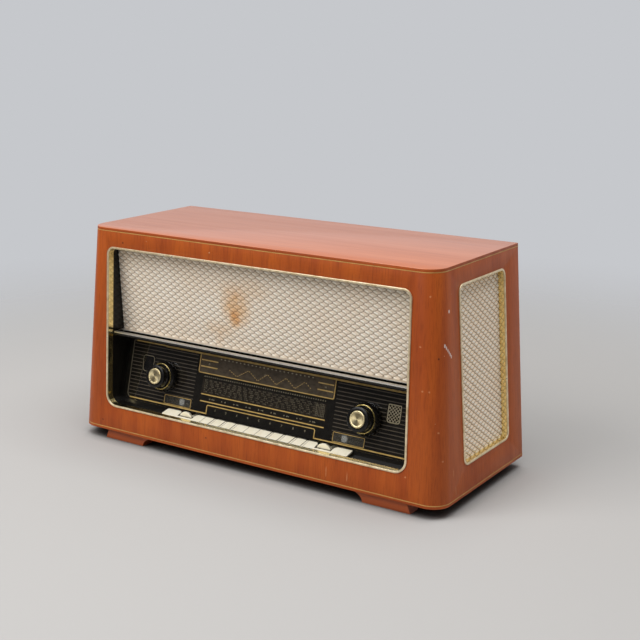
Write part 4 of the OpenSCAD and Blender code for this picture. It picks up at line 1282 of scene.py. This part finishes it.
@dataclass
class SpeakerCloths:
    """Three stretched cloths, woven in raised six-sided cells with a thick thread on each.

    Attributes:
        form: The set's dimensions.
        across: Width of a cell.
        reach: From a cell's middle to its top corner, before its sides are drawn.
        side: Half length of a cell's upright side.
        gap: Width of the flat rim round a cell.
        relief: Height of a cell.
        rises: For each step up a cell, how much narrower it gets and its share of the height.
        thread_length: Length of the thread on a cell.
        thread_width: Its width.
        thread_stands: How far it stands above the cell.
        thread_sunk: How far its foot is sunk into the cell.
        thread_crown: How much its upper side is narrower, along it and across it.
        thread_at: How far its middle lies from the cell's middle.
        thread_fall: How many degrees it slopes.
        stains: Middle, half size and strength of each stain on the front cloth.
        stain_deep: Half size of a stain into the cloth.
        front_half: Half width of the front cloth.
        front_height: Height of the front cloth.
        border: How far a side cloth reaches past its opening.
    """

    form: Form
    across: float = 14.3
    reach: float = 4.125
    side: float = 0.75
    gap: float = 0.2
    relief: float = 0.8
    rises: tuple = ((0.9, 0.6), (0.86, 0.4))
    thread_length: float = 6.4
    thread_width: float = 2.2
    thread_stands: float = 0.35
    thread_sunk: float = 0.05
    thread_crown: tuple[float, float] = (0.88, 0.6)
    thread_at: float = -2.2
    thread_fall: float = 21.0
    stains: tuple = (((-41, 62), (34, 36), 0.7), ((-44, 45), (12, 18), 0.8),
                     ((-12, 92), (44, 22), 0.25), ((-50, 90), (26, 16), 0.2),
                     ((-76, 26), (34, 17), 0.3), ((-75, 9), (12, 16), 0.25))
    stain_deep: float = 20.0
    front_half: float = 268.0
    front_height: float = 138.0
    border: float = 8.0

    def cell(self, name: str) -> Workpiece:
        """One cell: a long six-sided face, raised in steps towards its middle."""
        cell = Workpiece.disc(name, self.reach, 6).turned(turn(90, "X"))
        cell.pick(Part.VERTS).stretch(x=self.across / 2 / (self.reach * math.cos(math.pi / 6)))
        cell.pick(Part.VERTS, lambda p, n: abs(p.x) > 1)
        cell.stretch(z=self.side / (self.reach / 2))
        cell.pick(Part.FACES).inset(self.gap)
        for scale, share in self.rises:
            cell.extrude(y=-self.relief * share).stretch(x=scale, z=scale)
        half, width, top = self.thread_length / 2, self.thread_width / 2, self.thread_stands
        thread = Workpiece.cube("thread", (-half, -top, -width),
                                (half, self.thread_sunk, width))
        along, over = self.thread_crown
        thread.pick(Part.FACES, lambda p, n: n.y < -0.9).stretch(x=along, z=over)
        thread.pick(Part.FACES, lambda p, n: n.y > 0.9).delete()
        thread.turned(shift(self.thread_at, -self.relief) @ turn(self.thread_fall, "Y"))
        return cell.join(thread)

    def weave(self, name: str, area: Outline) -> Workpiece:
        """Fill an area with cells.

        Args:
            name: Name of the piece.
            area: The cloth's outline.

        Returns:
            The cloth, its raised cells on the plane y 0 and its grooves behind it.
        """
        step = self.reach + self.side
        cloth = self.cell(name)
        twin = cloth.copied()
        twin.turned(shift(self.across / 2, 0, step))
        cloth.join(twin)
        cloth.row(math.ceil((area.x1 - area.x0) / self.across) + 2, x=self.across)
        cloth.row(math.ceil((area.z1 - area.z0) / (2 * step)) + 2, z=2 * step)
        cloth.merge().turned(shift(area.x0 - self.across, self.relief, area.z0 - step))
        cloth.trimmed(area, close=False)
        whole = self.relief + self.thread_stands
        return cloth.record("relief", "FLOAT", lambda p: (self.relief - p.y) / whole)

    def build(self) -> None:
        """Weave the three cloths and stretch them over their boards."""
        form = self.form
        front = Outline(-self.front_half, self.front_half, 0, self.front_height)
        cloth = self.weave("front_cloth", front)
        place = form.row @ form.cloth
        stains = tuple((place @ Vector((x, 0, z)),
                        (wide * MM, self.stain_deep * MM, high * MM), strength)
                       for (x, z), (wide, high), strength in self.stains)
        made = cloth.done(place, replace(FRONT_CLOTH, stains=stains), "front_cloth",
                          ["speaker_cloth"], smooth=60)
        area = form.side_opening.grown(self.border)
        for name, place in zip(("right_cloth", "left_cloth"), form.sides):
            cloth = self.weave(name, area).turned(shift(y=form.wall))
            made = cloth.done(form.row @ place, SIDE_CLOTH, "side_cloth", ["side_cloths"],
                              smooth=60)


@dataclass
class Ledge:
    """Bright rail on the ledge, with a black groove along it."""

    form: Form
    half: float = 260.5
    thick: float = 1.4
    lip: float = 2.0
    lip_thick: float = 0.35
    lip_gap: float = 0.03
    edge: float = 0.25
    groove_at: float = 4.0
    groove_width: float = 11.5
    groove_depth: float = 0.7

    def build(self) -> None:
        """Cut the rail, turn its front edge down as a lip and press the groove."""
        form = self.form
        front, rear = form.ledge_y, form.ledge_y + form.ledge_depth
        top = form.ledge_z
        rail = Workpiece.cube("ledge_rail", (-self.half, front - self.lip_thick, top - self.thick),
                              (self.half, rear, top))
        rail.bisect((0, front - self.lip_gap, 0), (0, 1, 0), cut=False)
        rail.pick(Part.FACES, lambda p, n: n.z < -0.9 and p.y < front)
        rail.extrude(z=self.thick - self.lip)
        g0 = front + self.groove_at
        g1 = g0 + self.groove_width
        for y in (g0, g1):
            rail.bisect((0, y, 0), (0, 1, 0), cut=False)
        rail.pick(Part.FACES, lambda p, n: n.z > 0.9 and g0 < p.y < g1)
        rail.extrude(z=-self.groove_depth)
        rail.soften(self.edge)
        floor = top - self.groove_depth + 0.05
        rail.line_with(BLACK_PAINT, lambda p, n: g0 < p.y < g1 and p.z < floor)
        rail.done(form.row, BRIGHT_RAIL, "bright_rail", ["dial_rail"])


class Ink(Enum):
    """The four inks of the dial's lines and marks: the name of what is printed, and its finish."""

    GOLD = "dial_gold_marks", GOLD_PRINT
    GREY = "dial_grey_marks", GREY_PRINT
    BROWN = "dial_brown_marks", DIM_PRINT
    CREAM = "dial_cream_marks", CREAM_PRINT


@dataclass
class DialPrint:
    """Everything printed on the back of the dial glass: a black ground, lines and marks.

    The layers lie a hair inside the glass, so that nothing behind it comes before them. Places
    are given along X and up the dial's slope. A row of bars is given by the first one's place,
    length and width, their number, and the step from one to the next across and up.
    """

    form: Form
    half: float = 261.0
    low: float = 5.5
    high: float = 104.0
    corner: float = 14.0
    ink: float = 2.86
    ink_back: float = 2.9
    ground: float = 2.92
    ground_back: float = 2.96
    film: float = 2.97
    film_back: float = 2.99
    cutter: tuple[float, float] = (0.0, 6.0)
    knob_x: float = 180.0
    knob_s: float = 51.2
    knob_hole: float = 7.0
    window: Outline = Outline(-179.5, -127.5, 10, 24, 1.5, 1.5)
    eye: Outline = Outline(-230, -210, 52.4, 77.4, 5, 5, taper=-1.5)
    lattice: Outline = Outline(208.6, 229.6, 52, 78, 5, 2)
    band: Outline = Outline(-121.4, 121.4, 67.6, 97, 3, 1)
    stations: Outline = Outline(-111, 111, 38, 60)
    plate: Outline = Outline(-97.6, 97.6, 5, 22, 0, 3)
    border: Outline = Outline(-254.6, 254.6, 7.6, 97.9, 8, 2)
    border_line: float = 1.8
    border_lap: float = 1.0
    border_dull: float = 6.0
    plate_line: float = 1.3
    plate_gap: float = 14.0
    bars: tuple = ((30, 96.6, 440, 2.6), (0, 36.6, 222, 1.5), (0, 26.0, 222, 1.5),
                   (-102.5, 87.4, 31, 1.6), (-102.5, 77.8, 31, 1.6),
                   (105.2, 87.4, 26.4, 1.6), (105.2, 77.8, 26.4, 1.6))
    window_line: float = 0.7
    lattice_line: float = 1.2
    eye_line: float = 0.6
    stripes_right: tuple = (188.5, 14.0, 127, 1.3, 15, 0, 5.6)
    stripes_gap: float = 1.5
    window_gap: float = 1.0
    laths: tuple = (0, -18, 50, 0.9, 11, 0, 3.6)
    squares: tuple = (-82, 92.6, 2.4, 1.6, 24, 164 / 23)
    dots: tuple = (-108, 63.4, 1.0, 1.6, 55, 4)
    peaks: tuple = ((-66, 80), (-50, 72), (-30, 84), (-12, 72), (4, 84), (21, 72), (37, 84),
                    (54, 72), (70, 84), (82, 75.6))
    mark_half: tuple[float, float] = (1.0, 0.45)
    mark_pitch: float = 4.2
    rows: tuple = (range(87, 109), range(145, 350, 10), range(510, 1650, 60), range(16, 52, 2),
                   range(590, 1600, 50), range(6, 30), range(105, 205, 5))
    row_size: float = 2.5
    row_margin: float = 4.0
    row_foot: float = 2.0
    rules: tuple = (95, 49, 0.7, 18, 6, 2.6)
    long_row: tuple = (range(10, 19), 0, 30, 2.4, 190)
    band_numbers: tuple = ((30, -103), (60, 0), (90, 105))
    band_numbers_s: float = 81.4
    band_numbers_size: float = 3.2
    key_count: int = 9
    key_numbers_s: float = 14.0
    key_numbers_size: float = 4.6
    printed: dict = field(default_factory=lambda: {ink: [] for ink in Ink})

    def bar(self, x: float, s: float, length: float, width: float, count: int = 1,
            across: float = 0.0, up: float = 0.0) -> Workpiece:
        """A printed bar with its middle at a place, or a row of bars at even steps from it."""
        bar = Workpiece.cube("bar", (x - length / 2, self.ink, s - width / 2),
                             (x + length / 2, self.ink_back, s + width / 2))
        return bar.row(count, across, up) if count > 1 else bar

    def frame(self, outline: Outline, width: float) -> Workpiece:
        """A printed line along the inside of an outline."""
        return outline.ring("frame", width, self.ink, self.ink_back)

    def gap(self, outline: Outline, grown: float = 0.0) -> Workpiece:
        """A cutter that keeps the print clear of an outline and of a margin round it."""
        return outline.grown(grown).slab("gap", *self.cutter)

    def lines(self) -> None:
        """Print the border, the frames and the long gold bars."""
        border = self.frame(self.border, self.border_line)
        border.minus(Workpiece.cube("gap", (self.plate.x0, self.cutter[0], 0),
                                    (self.plate.x1, self.cutter[1], self.plate_gap)))
        plate = self.frame(self.plate, self.plate_line)
        plate.bisect((0, 0, self.border.z0), (0, 0, -1))
        band = self.frame(self.band, self.plate_line)
        band.bisect((0, 0, self.border.z1 - self.border_lap), (0, 0, 1))
        # Painted shade: the left end of the gold border is printed in the dim brown ink
        edge = (self.border.x0 + self.border_dull, 0, 0)
        self.printed[Ink.BROWN].append(border.copied().bisect(edge, (1, 0, 0)))
        border.bisect(edge, (-1, 0, 0))
        self.printed[Ink.GOLD] += [border, plate, band, *(self.bar(*bar) for bar in self.bars)]
        for ink, outline, width in ((Ink.GOLD, self.window, self.window_line),
                                    (Ink.GOLD, self.window.mirrored(), self.window_line),
                                    (Ink.CREAM, self.lattice, self.lattice_line),
                                    (Ink.CREAM, self.eye, self.eye_line)):
            self.printed[ink].append(self.frame(outline, width))

    def stripes(self) -> None:
        """Print the fine grey stripes beside the scales, clear of the windows, the lattice and the
        magic eye.
        """
        right = self.bar(*self.stripes_right)
        right.minus(self.gap(self.window.mirrored(), self.window_gap),
                    self.gap(self.lattice, self.stripes_gap))
        left = right.copied().turned(MIRROR)
        left.minus(self.gap(self.eye, self.stripes_gap))
        self.printed[Ink.GREY] += [left, right]

    def ornament(self) -> None:
        """Print the lattice, trimmed to its outline."""
        box = self.lattice
        middle = shift((box.x0 + box.x1) / 2, 0, (box.z0 + box.z1) / 2)
        for slope in (45, -45):
            bars = self.bar(*self.laths).turned(turn(slope, "Y")).turned(middle)
            self.printed[Ink.CREAM].append(bars.trimmed(box.grown(-self.lattice_line / 2)))

    def ticks(self) -> None:
        """Print the rows of ticks and the zigzag of short marks in the upper band."""
        self.printed[Ink.CREAM] += [self.bar(*self.squares), self.bar(*self.dots)]
        half, thick = self.mark_half
        for (x0, s0), (x1, s1) in zip(self.peaks, self.peaks[1:]):
            slope = math.atan2(s1 - s0, x1 - x0)
            steps = round(math.hypot(x1 - x0, s1 - s0) / self.mark_pitch)
            for i in range(steps):
                share = (i + 0.5) / steps
                mark = Workpiece.cube("mark", (-half, self.ink, -thick),
                                      (half, self.ink_back, thick))
                mark.turned(turn(-math.degrees(slope), "Y"))
                mark.turned(shift(x0 + share * (x1 - x0), 0, s0 + share * (s1 - s0)))
                self.printed[Ink.GOLD].append(mark)

    def numbers(self) -> None:
        """Print plain numbers: small ones in rows along the scales, larger ones over the keys."""
        area, dim, cream = self.stations, self.printed[Ink.BROWN], self.printed[Ink.CREAM]
        pitch = (area.z1 - area.z0 - self.row_foot) / len(self.rows)
        width = area.x1 - area.x0 - 2 * self.row_margin
        for i, values in enumerate(self.rows):
            dim.append(self.numeral(values, 0, area.z1 - (i + 1) * pitch, self.row_size, width))
        dim.append(self.bar(*self.rules))
        cream.append(self.numeral(*self.long_row))
        for value, x in self.band_numbers:
            cream.append(self.numeral((value,), x, self.band_numbers_s, self.band_numbers_size))
        for i in range(self.key_count):
            x = KEY_PITCH * (i - (self.key_count - 1) / 2)
            cream.append(self.numeral((i + 1,), x, self.key_numbers_s, self.key_numbers_size))

    def numeral(self, values: Iterable[int], x: float, s: float, size: float,
                width: Optional[float] = None) -> Workpiece:
        """Plain numbers side by side, with their middle at a place, spread to a width."""
        piece = Workpiece.number("   ".join(str(value) for value in values), size)
        piece.pick(Part.FACES).extrude(y=self.ink_back - self.ink)
        piece.outwards().alone()
        if width:
            across = [vertex.co.x for vertex in piece.thing.data.vertices]
            piece.turned(Matrix.Scale(width / (max(across) - min(across)), 4, (1, 0, 0)))
        return piece.turned(shift(x, self.ink, s))

    def ground_plate(self) -> None:
        """Print the black ground, with clear places for the lights and the scales."""
        ground = Outline(-self.half, self.half, self.low, self.high, self.corner, 0)
        plate = ground.slab("dial_black_ground", self.ground, self.ground_back)
        # Where a line is printed round a clear place, the ground reaches under it
        plate.minus(*(self.gap(outline, grown) for outline, grown in (
            (self.window, -0.4), (self.window.mirrored(), -0.4), (self.eye, -0.3),
            (self.stations, 0), (self.band, -1.2))))
        for x in (-self.knob_x, self.knob_x):
            hole = Workpiece.rod("hole", self.knob_hole, -self.cutter[1], self.cutter[1])
            plate.minus(hole.turned(shift(x, 0, self.knob_s) @ turn(90, "X")))
        self.lay(plate, BLACK_PRINT)

    def films(self) -> None:
        """Print the thin films over the scales and the windows."""
        # Each film is a little larger than its clear place, so that its rim lies behind the ground
        for name, outline, finish in (
                ("film_band", self.band.grown(-1), BAND_FILM),
                ("film_stations", self.stations.grown(0.3), SCALE_FILM),
                ("film_bass", self.window, WINDOW_FILM),
                ("film_treble", self.window.mirrored(), WINDOW_FILM),
                ("film_eye", self.eye, EYE_FILM)):
            self.lay(outline.slab(name, self.film, self.film_back), finish)

    def lay(self, piece: Workpiece, finish: Finish) -> None:
        """Set a printed layer in its place behind the glass."""
        piece.done(self.form.row @ self.form.dial, finish)

    def build(self) -> None:
        """Print every layer."""
        self.lines()
        self.stripes()
        self.ornament()
        self.ticks()
        self.numbers()
        self.ground_plate()
        self.films()
        for ink, marks in self.printed.items():
            name, finish = ink.value
            first = marks[0].join(*marks[1:])
            first.thing.name = name
            self.lay(first, finish)


@dataclass
class DoubleKnob:
    """Two knobs on one axis: an inner one with a brass cap, an outer one with a brass rim."""

    form: Form
    x: float
    s: float = 51.2
    sides: int = 120
    inner_r: float = 17.5
    inner_z: float = 14.2
    waist_in: float = 1.5
    reach: float = 29.0
    cap_r: float = 12.0
    cap_t: float = 1.4
    outer_r: float = 23.0
    outer_z: float = 1.5
    outer_t: float = 12.0
    rim_r: float = 20.2
    rim_width: float = 1.9
    rim_t: float = 1.5
    rim_round: float = 0.5
    bore: tuple[float, float] = (-2.0, 4.0)
    brass_sides: int = 96
    ribs_low: float = 3.1
    ribs_high: float = 1.6
    rib: float = 0.3

    @property
    def place(self) -> Matrix:
        """Frame of the knob: Z towards the listener."""
        return self.form.row @ self.form.dial @ shift(self.x, 0, self.s) @ turn(90, "X")

    def inner(self, node: str, body: Body) -> None:
        """Turn the inner knob and mill its fine ribs."""
        r, waist = self.inner_r, self.inner_r - self.waist_in
        knob = Workpiece.lathe(node + "_turned", self.sides, self.inner_z, r - 0.8,
                               (r - 0.3, 1), (r - 0.3, 2), (waist, 1.5), (waist, 5.8),
                               (r - 0.4, 1.1), (r, 0.3), (r, 1.2), (r - 0.6, 0.6), (r - 1.2, 0.3),
                               (self.cap_r + 0.8, 0.05), (self.cap_r + 0.2, -0.9))
        knob.milled(self.sides, self.reach - self.ribs_low, self.reach - self.ribs_high, self.rib)
        knob.done(self.place, BLACK_KNOB, "knob_plastic", [node], body, smooth=30)

    def cap(self, node: str, body: Body) -> None:
        """Turn the brass cap, with the run of its rings stored for the light."""
        r = self.cap_r
        cap = Workpiece.lathe(node + "_turned", self.brass_sides, self.reach - self.cap_t, r,
                              (r, 0.8), (r - 0.3, 0.35), (r - 0.9, 0.2), (r - 1.6, 0.05),
                              (r - 2.2, -0.25), (8, -0.1), (5, -0.08), (2.5, -0.04), (0.4, -0.02))
        axis = self.place.to_3x3().normalized()
        cap.record("spin", "FLOAT_VECTOR", lambda p: axis @ Vector((-p.y, p.x, 0)).normalized())
        cap.done(self.place, KNOB_CAP, "knob_brass", [node], body, smooth=40)

    def outer(self, node: str, body: Body) -> None:
        """Turn the outer knob."""
        r, t = self.outer_r, self.outer_t
        knob = Workpiece.lathe(node + "_turned", self.sides, self.outer_z, r - 1, (r - 0.3, 0.3),
                               (r, 0.7), (r, t - 4.4), (r - 0.3, 0.6), (self.rim_r + 0.9, 2.4),
                               (self.rim_r + 0.5, 0.4), (4, 0))
        knob.done(self.place, BLACK_KNOB, "knob_plastic", [node], body, smooth=30)

    def rim(self, node: str, body: Body) -> None:
        """Turn the brass rim of the outer knob."""
        z0 = self.outer_z + self.outer_t
        low, high = self.bore
        rim = Workpiece.rod(node + "_turned", self.rim_r, z0, z0 + self.rim_t, self.brass_sides)
        rim.minus(Workpiece.rod("bore", self.rim_r - self.rim_width, z0 + low, z0 + high,
                                self.brass_sides))
        rim.soften(self.rim_round, segments=3, angle=50)
        rim.done(self.place, KNOB_RIM, "knob_brass", [node], body)


@dataclass
class Thumbwheel:
    """Cream wheel that shows half of itself among the keys, with a milled edge."""

    form: Form
    x: float
    y: float = 20.05
    z: float = 36.3
    radius: float = 13.2
    thick: float = 5.0
    rear: float = 63.55
    spindle: float = 3.0
    lap: float = 0.5
    teeth: int = 44
    tooth: float = 0.25
    bevel: float = 0.9

    def build(self, node: str, body: Body) -> None:
        """Turn the wheel on its spindle and mill its edge."""
        r, t = self.radius, self.thick
        wheel = Workpiece.lathe(node + "_turned", 2 * self.teeth, 0, r - 1.2, (r - 0.5, 0.5),
                                (r - 0.25, 0.5), (r - 0.25, t - 2), (r - 0.5, 0.5), (r - 1.2, 0.5),
                                (4, 0))
        wheel.milled(2 * self.teeth, self.bevel, t - self.bevel, self.tooth)
        wheel.join(Workpiece.rod("spindle", self.spindle, self.y + t - self.rear, self.lap,
                                 sides=32))
        place = shift(self.x, self.y + t, self.z) @ turn(90, "X")
        wheel.done(self.form.row @ place, IVORY, "ivory", [node], body, smooth=30)


@dataclass
class BackScrews:
    """Slotted round-head screws that hold the back cover."""

    form: Form
    head_r: float = 3.6
    shank_r: float = 1.75
    slot: float = 0.8
    slot_z: float = 1.2
    face_y: float = 248.0
    shank: float = 3.0
    lap: float = 0.1
    out: float = 220.0
    low: float = 8.25

    def build(self) -> None:
        """Turn one screw, saw its slot and set six copies."""
        r = self.head_r
        screw = Workpiece.lathe("screw", 32, 0, r, (r - 0.1, 0.5), (r - 0.7, 0.9), (r - 1.7, 0.6),
                                (0.6, 0.2))
        screw.minus(Workpiece.cube("saw", (-PAST, -self.slot / 2, self.slot_z),
                                   (PAST, self.slot / 2, PAST)))
        screw.join(Workpiece.rod("shank", self.shank_r, -self.shank, self.lap, sides=24))
        tilt = random.Random(5)
        made = []
        for x in (-self.out, 0, self.out):
            for z in (self.low, self.form.height - self.low):
                spin = turn(tilt.uniform(0, 180), "Z")
                place = shift(x, self.face_y, z) @ turn(-90, "X") @ spin
                made.append(screw.copied("cover_screws").turned(place))
        bpy.data.objects.remove(screw.thing)
        made[0].join(*made[1:])
        made[0].done(self.form.row, SCREW_BRASS, "screw_brass", ["back_screws"])


def key_seams(rib: float = 3.8) -> tuple[float, ...]:
    """Places of the seams beside the ribs between the outer keys, in millimetres."""
    first = -(9 * KEY_PITCH + rib) / 2
    rears = [first + (i + 1) * KEY_PITCH + (rib if i > 5 else 0) for i in (0, 1, 2, 6, 7, 8)]
    rears.append(first + 6 * KEY_PITCH + rib)
    return tuple(x for rear in rears for x in (rear - rib, rear))


class PackedParts:
    """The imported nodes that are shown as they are, with their edges eased and a finish."""

    finishes = (
        (BLACK_MOULDING, ("escutcheon",)),
        (DIAL_GLASS, ("dial_glass",)),
        (LIGHT_BOX, ("dial_backplate",)),
        (LAMP_GLASS, ("dial_lamps",)),
        (DRIVE_CORD, ("drive_cords",)),
        (POINTER_RED, ("fm_pointer", "am_pointer")),
        (STEEL, ("volume_shaft", "aerial_shaft", "am_shaft", "fm_shaft", "key_frame")),
        (CARBON, ("volume_control",)),
        (CAPACITOR, ("tuning_capacitor", "capacitor_rotor")),
        (FERRITE, ("ferrite_aerial",)),
        (TUBE_GLASS, ("magic_eye", "valves")),
        (BLACK_CARD, ("eye_shade",)),
        # The keys' resin, with painted shade along the seams beside the ribs
        (replace(IVORY, name="urea_resin_keys_moulded", seams=key_seams()),
         ("key_bezel",) + tuple(f"key_{i}" for i in range(1, 10))),
        (WHITE_FLAG, WHITE_FLAG.nodes),
        (CHASSIS, ("chassis",)),
        (LAMINATIONS, ("transformers",)),
        (DRAWN_CAN, ("screening_cans",)),
        (HARDBOARD, ("back_cover",)),
        (SOCKET_BOARD, ("rear_sockets",)),
        (SPEAKER_STEEL, ("front_speakers", "side_speakers")),
        (PLYWOOD, ("baffle_board", "side_boards")),
    )
    eased = {"key_bezel": 0.6, "back_cover": 0.25, "rear_sockets": 0.4, "chassis": 0.4,
             "screening_cans": 1.0, "transformers": 0.5,
             **{f"key_{i}": 1.0 for i in range(1, 10)}}
    edge_steps = 3
    sharp = 50.0

    def dress(self) -> None:
        """Give each node its finish, and ease the edges of those that are seen close."""
        for finish, names in self.finishes:
            for name in names:
                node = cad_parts[name]
                node.data.materials.clear()
                node.data.materials.append(finish.material())
                if name in self.eased:
                    weld = node.modifiers.new("weld", "WELD")
                    weld.merge_threshold = TOUCH * MM
                    edge = node.modifiers.new("eased_edges", "BEVEL")
                    edge.width = self.eased[name] * MM
                    edge.segments = self.edge_steps
                    edge.limit_method = "ANGLE"
                    edge.angle_limit = math.radians(self.sharp)
        log.info("packed parts dressed: %d", sum(len(names) for _, names in self.finishes))


@dataclass(frozen=True)
class Softbox:
    """A square area lamp aimed at the middle of the set.

    Attributes:
        name: The lamp's name.
        towards: Direction from the set to the lamp.
        away: Distance in metres.
        size: Side of the square in metres.
        power: Power in watts.
    """

    name: str
    towards: tuple[float, float, float]
    away: float
    size: float
    power: float

    def hang(self, middle: Vector) -> None:
        """Add the lamp to the scene, aimed at a point."""
        data = bpy.data.lights.new(self.name, "AREA")
        data.shape = "SQUARE"
        data.size = self.size
        data.energy = self.power
        lamp = bpy.data.objects.new(self.name, data)
        bpy.context.scene.collection.objects.link(lamp)
        towards = Vector(self.towards).normalized()
        lamp.location = middle + towards * self.away
        lamp.rotation_mode = "QUATERNION"
        lamp.rotation_quaternion = towards.to_track_quat("Z", "Y")


@dataclass
class Studio:
    """Camera, lamps, floor and background.

    Attributes:
        form: The set's dimensions.
        eye: The camera's place in the cabinet's frame.
        yaw: Degrees that the camera is turned about Z.
        pitch: Degrees that it looks up.
        roll: Degrees that it leans.
        lens: Focal length in millimetres, on a sensor of the given width.
        sensor: Width of the sensor in millimetres.
        wall: Colour of the wall behind the set.
        front_of_room: Colour of the room where the camera stands, as the gloss shows it.
        room_turn: Share of the way to the front and to the back where one becomes the other.
        paper: Colour of the floor.
        under: The floor's painted shadow colour, where hardly any light gets.
        under_reach: How far a point looks for what covers it, in millimetres.
        under_ends: Share of open sky where the painted shadow is darkest, and where it ends.
        floor_radius: Radius of the floor in metres.
        fade: Distances in metres where the floor starts to fade and where it is gone.
        ambient: Strength of the light from all round.
        key: The main lamp.
        overhead: The lamp above the set.
    """

    form: Form
    eye: tuple[float, float, float] = (999.9, -1315.8, 627.5)
    yaw: float = 33.451
    pitch: float = -14.082
    roll: float = -0.269
    lens: float = 68.45
    sensor: float = 36.0
    wall: str = "#C6C8CC"
    front_of_room: str = "#4C4C50"
    room_turn: float = 0.3
    paper: str = "#B6B4B2"
    under: str = "#2C2A28"
    under_reach: float = 45.0
    under_ends: tuple[float, float] = (0.2, 0.75)
    floor_radius: float = 3.0
    fade: tuple[float, float] = (0.6, 1.7)
    ambient: float = 0.37
    key: Softbox = Softbox("key", (-0.33, -0.68, 0.68), 3.0, 2.0, 59.0)
    overhead: Softbox = Softbox("overhead", (0.18, -0.03, 0.98), 2.6, 2.2, 50.0)

    def camera(self) -> None:
        """Place the camera where the photograph was taken from."""
        data = bpy.data.cameras.new("view")
        data.lens = self.lens
        data.sensor_width = self.sensor
        camera = bpy.data.objects.new("view", data)
        bpy.context.scene.collection.objects.link(camera)
        aim = turn(self.yaw, "Z") @ turn(90 + self.pitch, "X") @ turn(-self.roll, "Z")
        camera.matrix_world = Matrix.Translation(self.form.row @ Vector(self.eye)) @ aim
        bpy.context.scene.camera = camera

    def light(self) -> None:
        """Hang the lamps and set the room: pale behind the set, dim where the camera stands."""
        world = bpy.data.worlds.new("room")
        tree = Graph(world)
        rays = tree.node("LightPath").node.outputs
        seen = tree.maths("MAXIMUM", rays["Is Camera Ray"], rays["Is Transmission Ray"])
        depth = tree.node("SeparateXYZ", {0: tree.node("TexCoord", out="Generated")}, "Y")
        back = tree.node("MapRange", {"Value": depth, "From Min": -self.room_turn,
                                      "From Max": self.room_turn},
                         interpolation_type="SMOOTHSTEP")
        behind = tree.maths("MAXIMUM", seen, back)
        wall = tree.node("Background", {"Color": tree.mix(behind, self.front_of_room, self.wall)})
        room = tree.node("Background", {"Color": "#FFFFFF", "Strength": self.ambient})
        mix = tree.node("MixShader", {0: rays["Is Diffuse Ray"], 1: wall, 2: room})
        tree.node("OutputWorld", {"Surface": mix})
        bpy.context.scene.world = world
        middle = Vector((0, 0, self.form.height * MM / 2))
        self.key.hang(middle)
        self.overhead.hang(middle)

    def floor(self) -> None:
        """Lay a pale paper floor, with a painted shadow under the set, that fades into the
        background.
        """
        deselect()
        bpy.ops.mesh.primitive_circle_add(vertices=96, radius=self.floor_radius, fill_type="NGON")
        floor = bpy.context.object
        floor.name = "floor"
        material = bpy.data.materials.new("paper_floor_pale")
        tree = Graph(material)
        place = tree.node("TexCoord", out="Object")
        far = tree.node("VectorMath", {0: place}, "Value", operation="LENGTH")
        start, end = self.fade
        fade = tree.node("MapRange", {"Value": far, "From Min": start, "From Max": end},
                         interpolation_type="SMOOTHSTEP")
        # Painted shadow: the paper goes nearly black under the set, where hardly any light gets
        colour = tree.ramp(tree.openness(self.under_reach),
                           *zip(self.under_ends, (self.under, self.paper)))
        paper = tree.node("BsdfDiffuse", {"Color": colour})
        mix = tree.node("MixShader", {0: fade, 1: paper, 2: tree.node("BsdfTransparent")})
        tree.node("OutputMaterial", {"Surface": mix})
        floor.data.materials.append(material)


def main() -> None:
    """Build the studio and every sub-assembly, and keep the model's size."""
    logging.basicConfig(level=logging.INFO, format="%(message)s")
    form = Form.measured()
    studio = Studio(form)
    studio.camera()
    studio.light()
    studio.floor()
    PackedParts().dress()
    for assembly in (Cabinet(form), Trims(form), SpeakerCloths(form), Ledge(form),
                     DialPrint(form), BackScrews(form)):
        assembly.build()
    left, right = DoubleKnob(form, -DialPrint.knob_x), DoubleKnob(form, DialPrint.knob_x)
    for knob, names, inner, outer in ((left, ("volume", "aerial"), Body.VOLUME, Body.AERIAL),
                                      (right, ("am", "fm"), Body.AM, Body.FM)):
        knob.inner(names[0] + "_knob", inner)
        knob.cap(names[0] + "_cap", inner)
        knob.outer(names[1] + "_knob", outer)
        knob.rim(names[1] + "_rim", outer)
    Thumbwheel(form, -WHEEL_X).build("bass_wheel", Body.BASS)
    Thumbwheel(form, WHEEL_X).build("treble_wheel", Body.TREBLE)
    bpy.context.scene.view_settings.view_transform = "Standard"


if __name__ == "__main__":
    main()
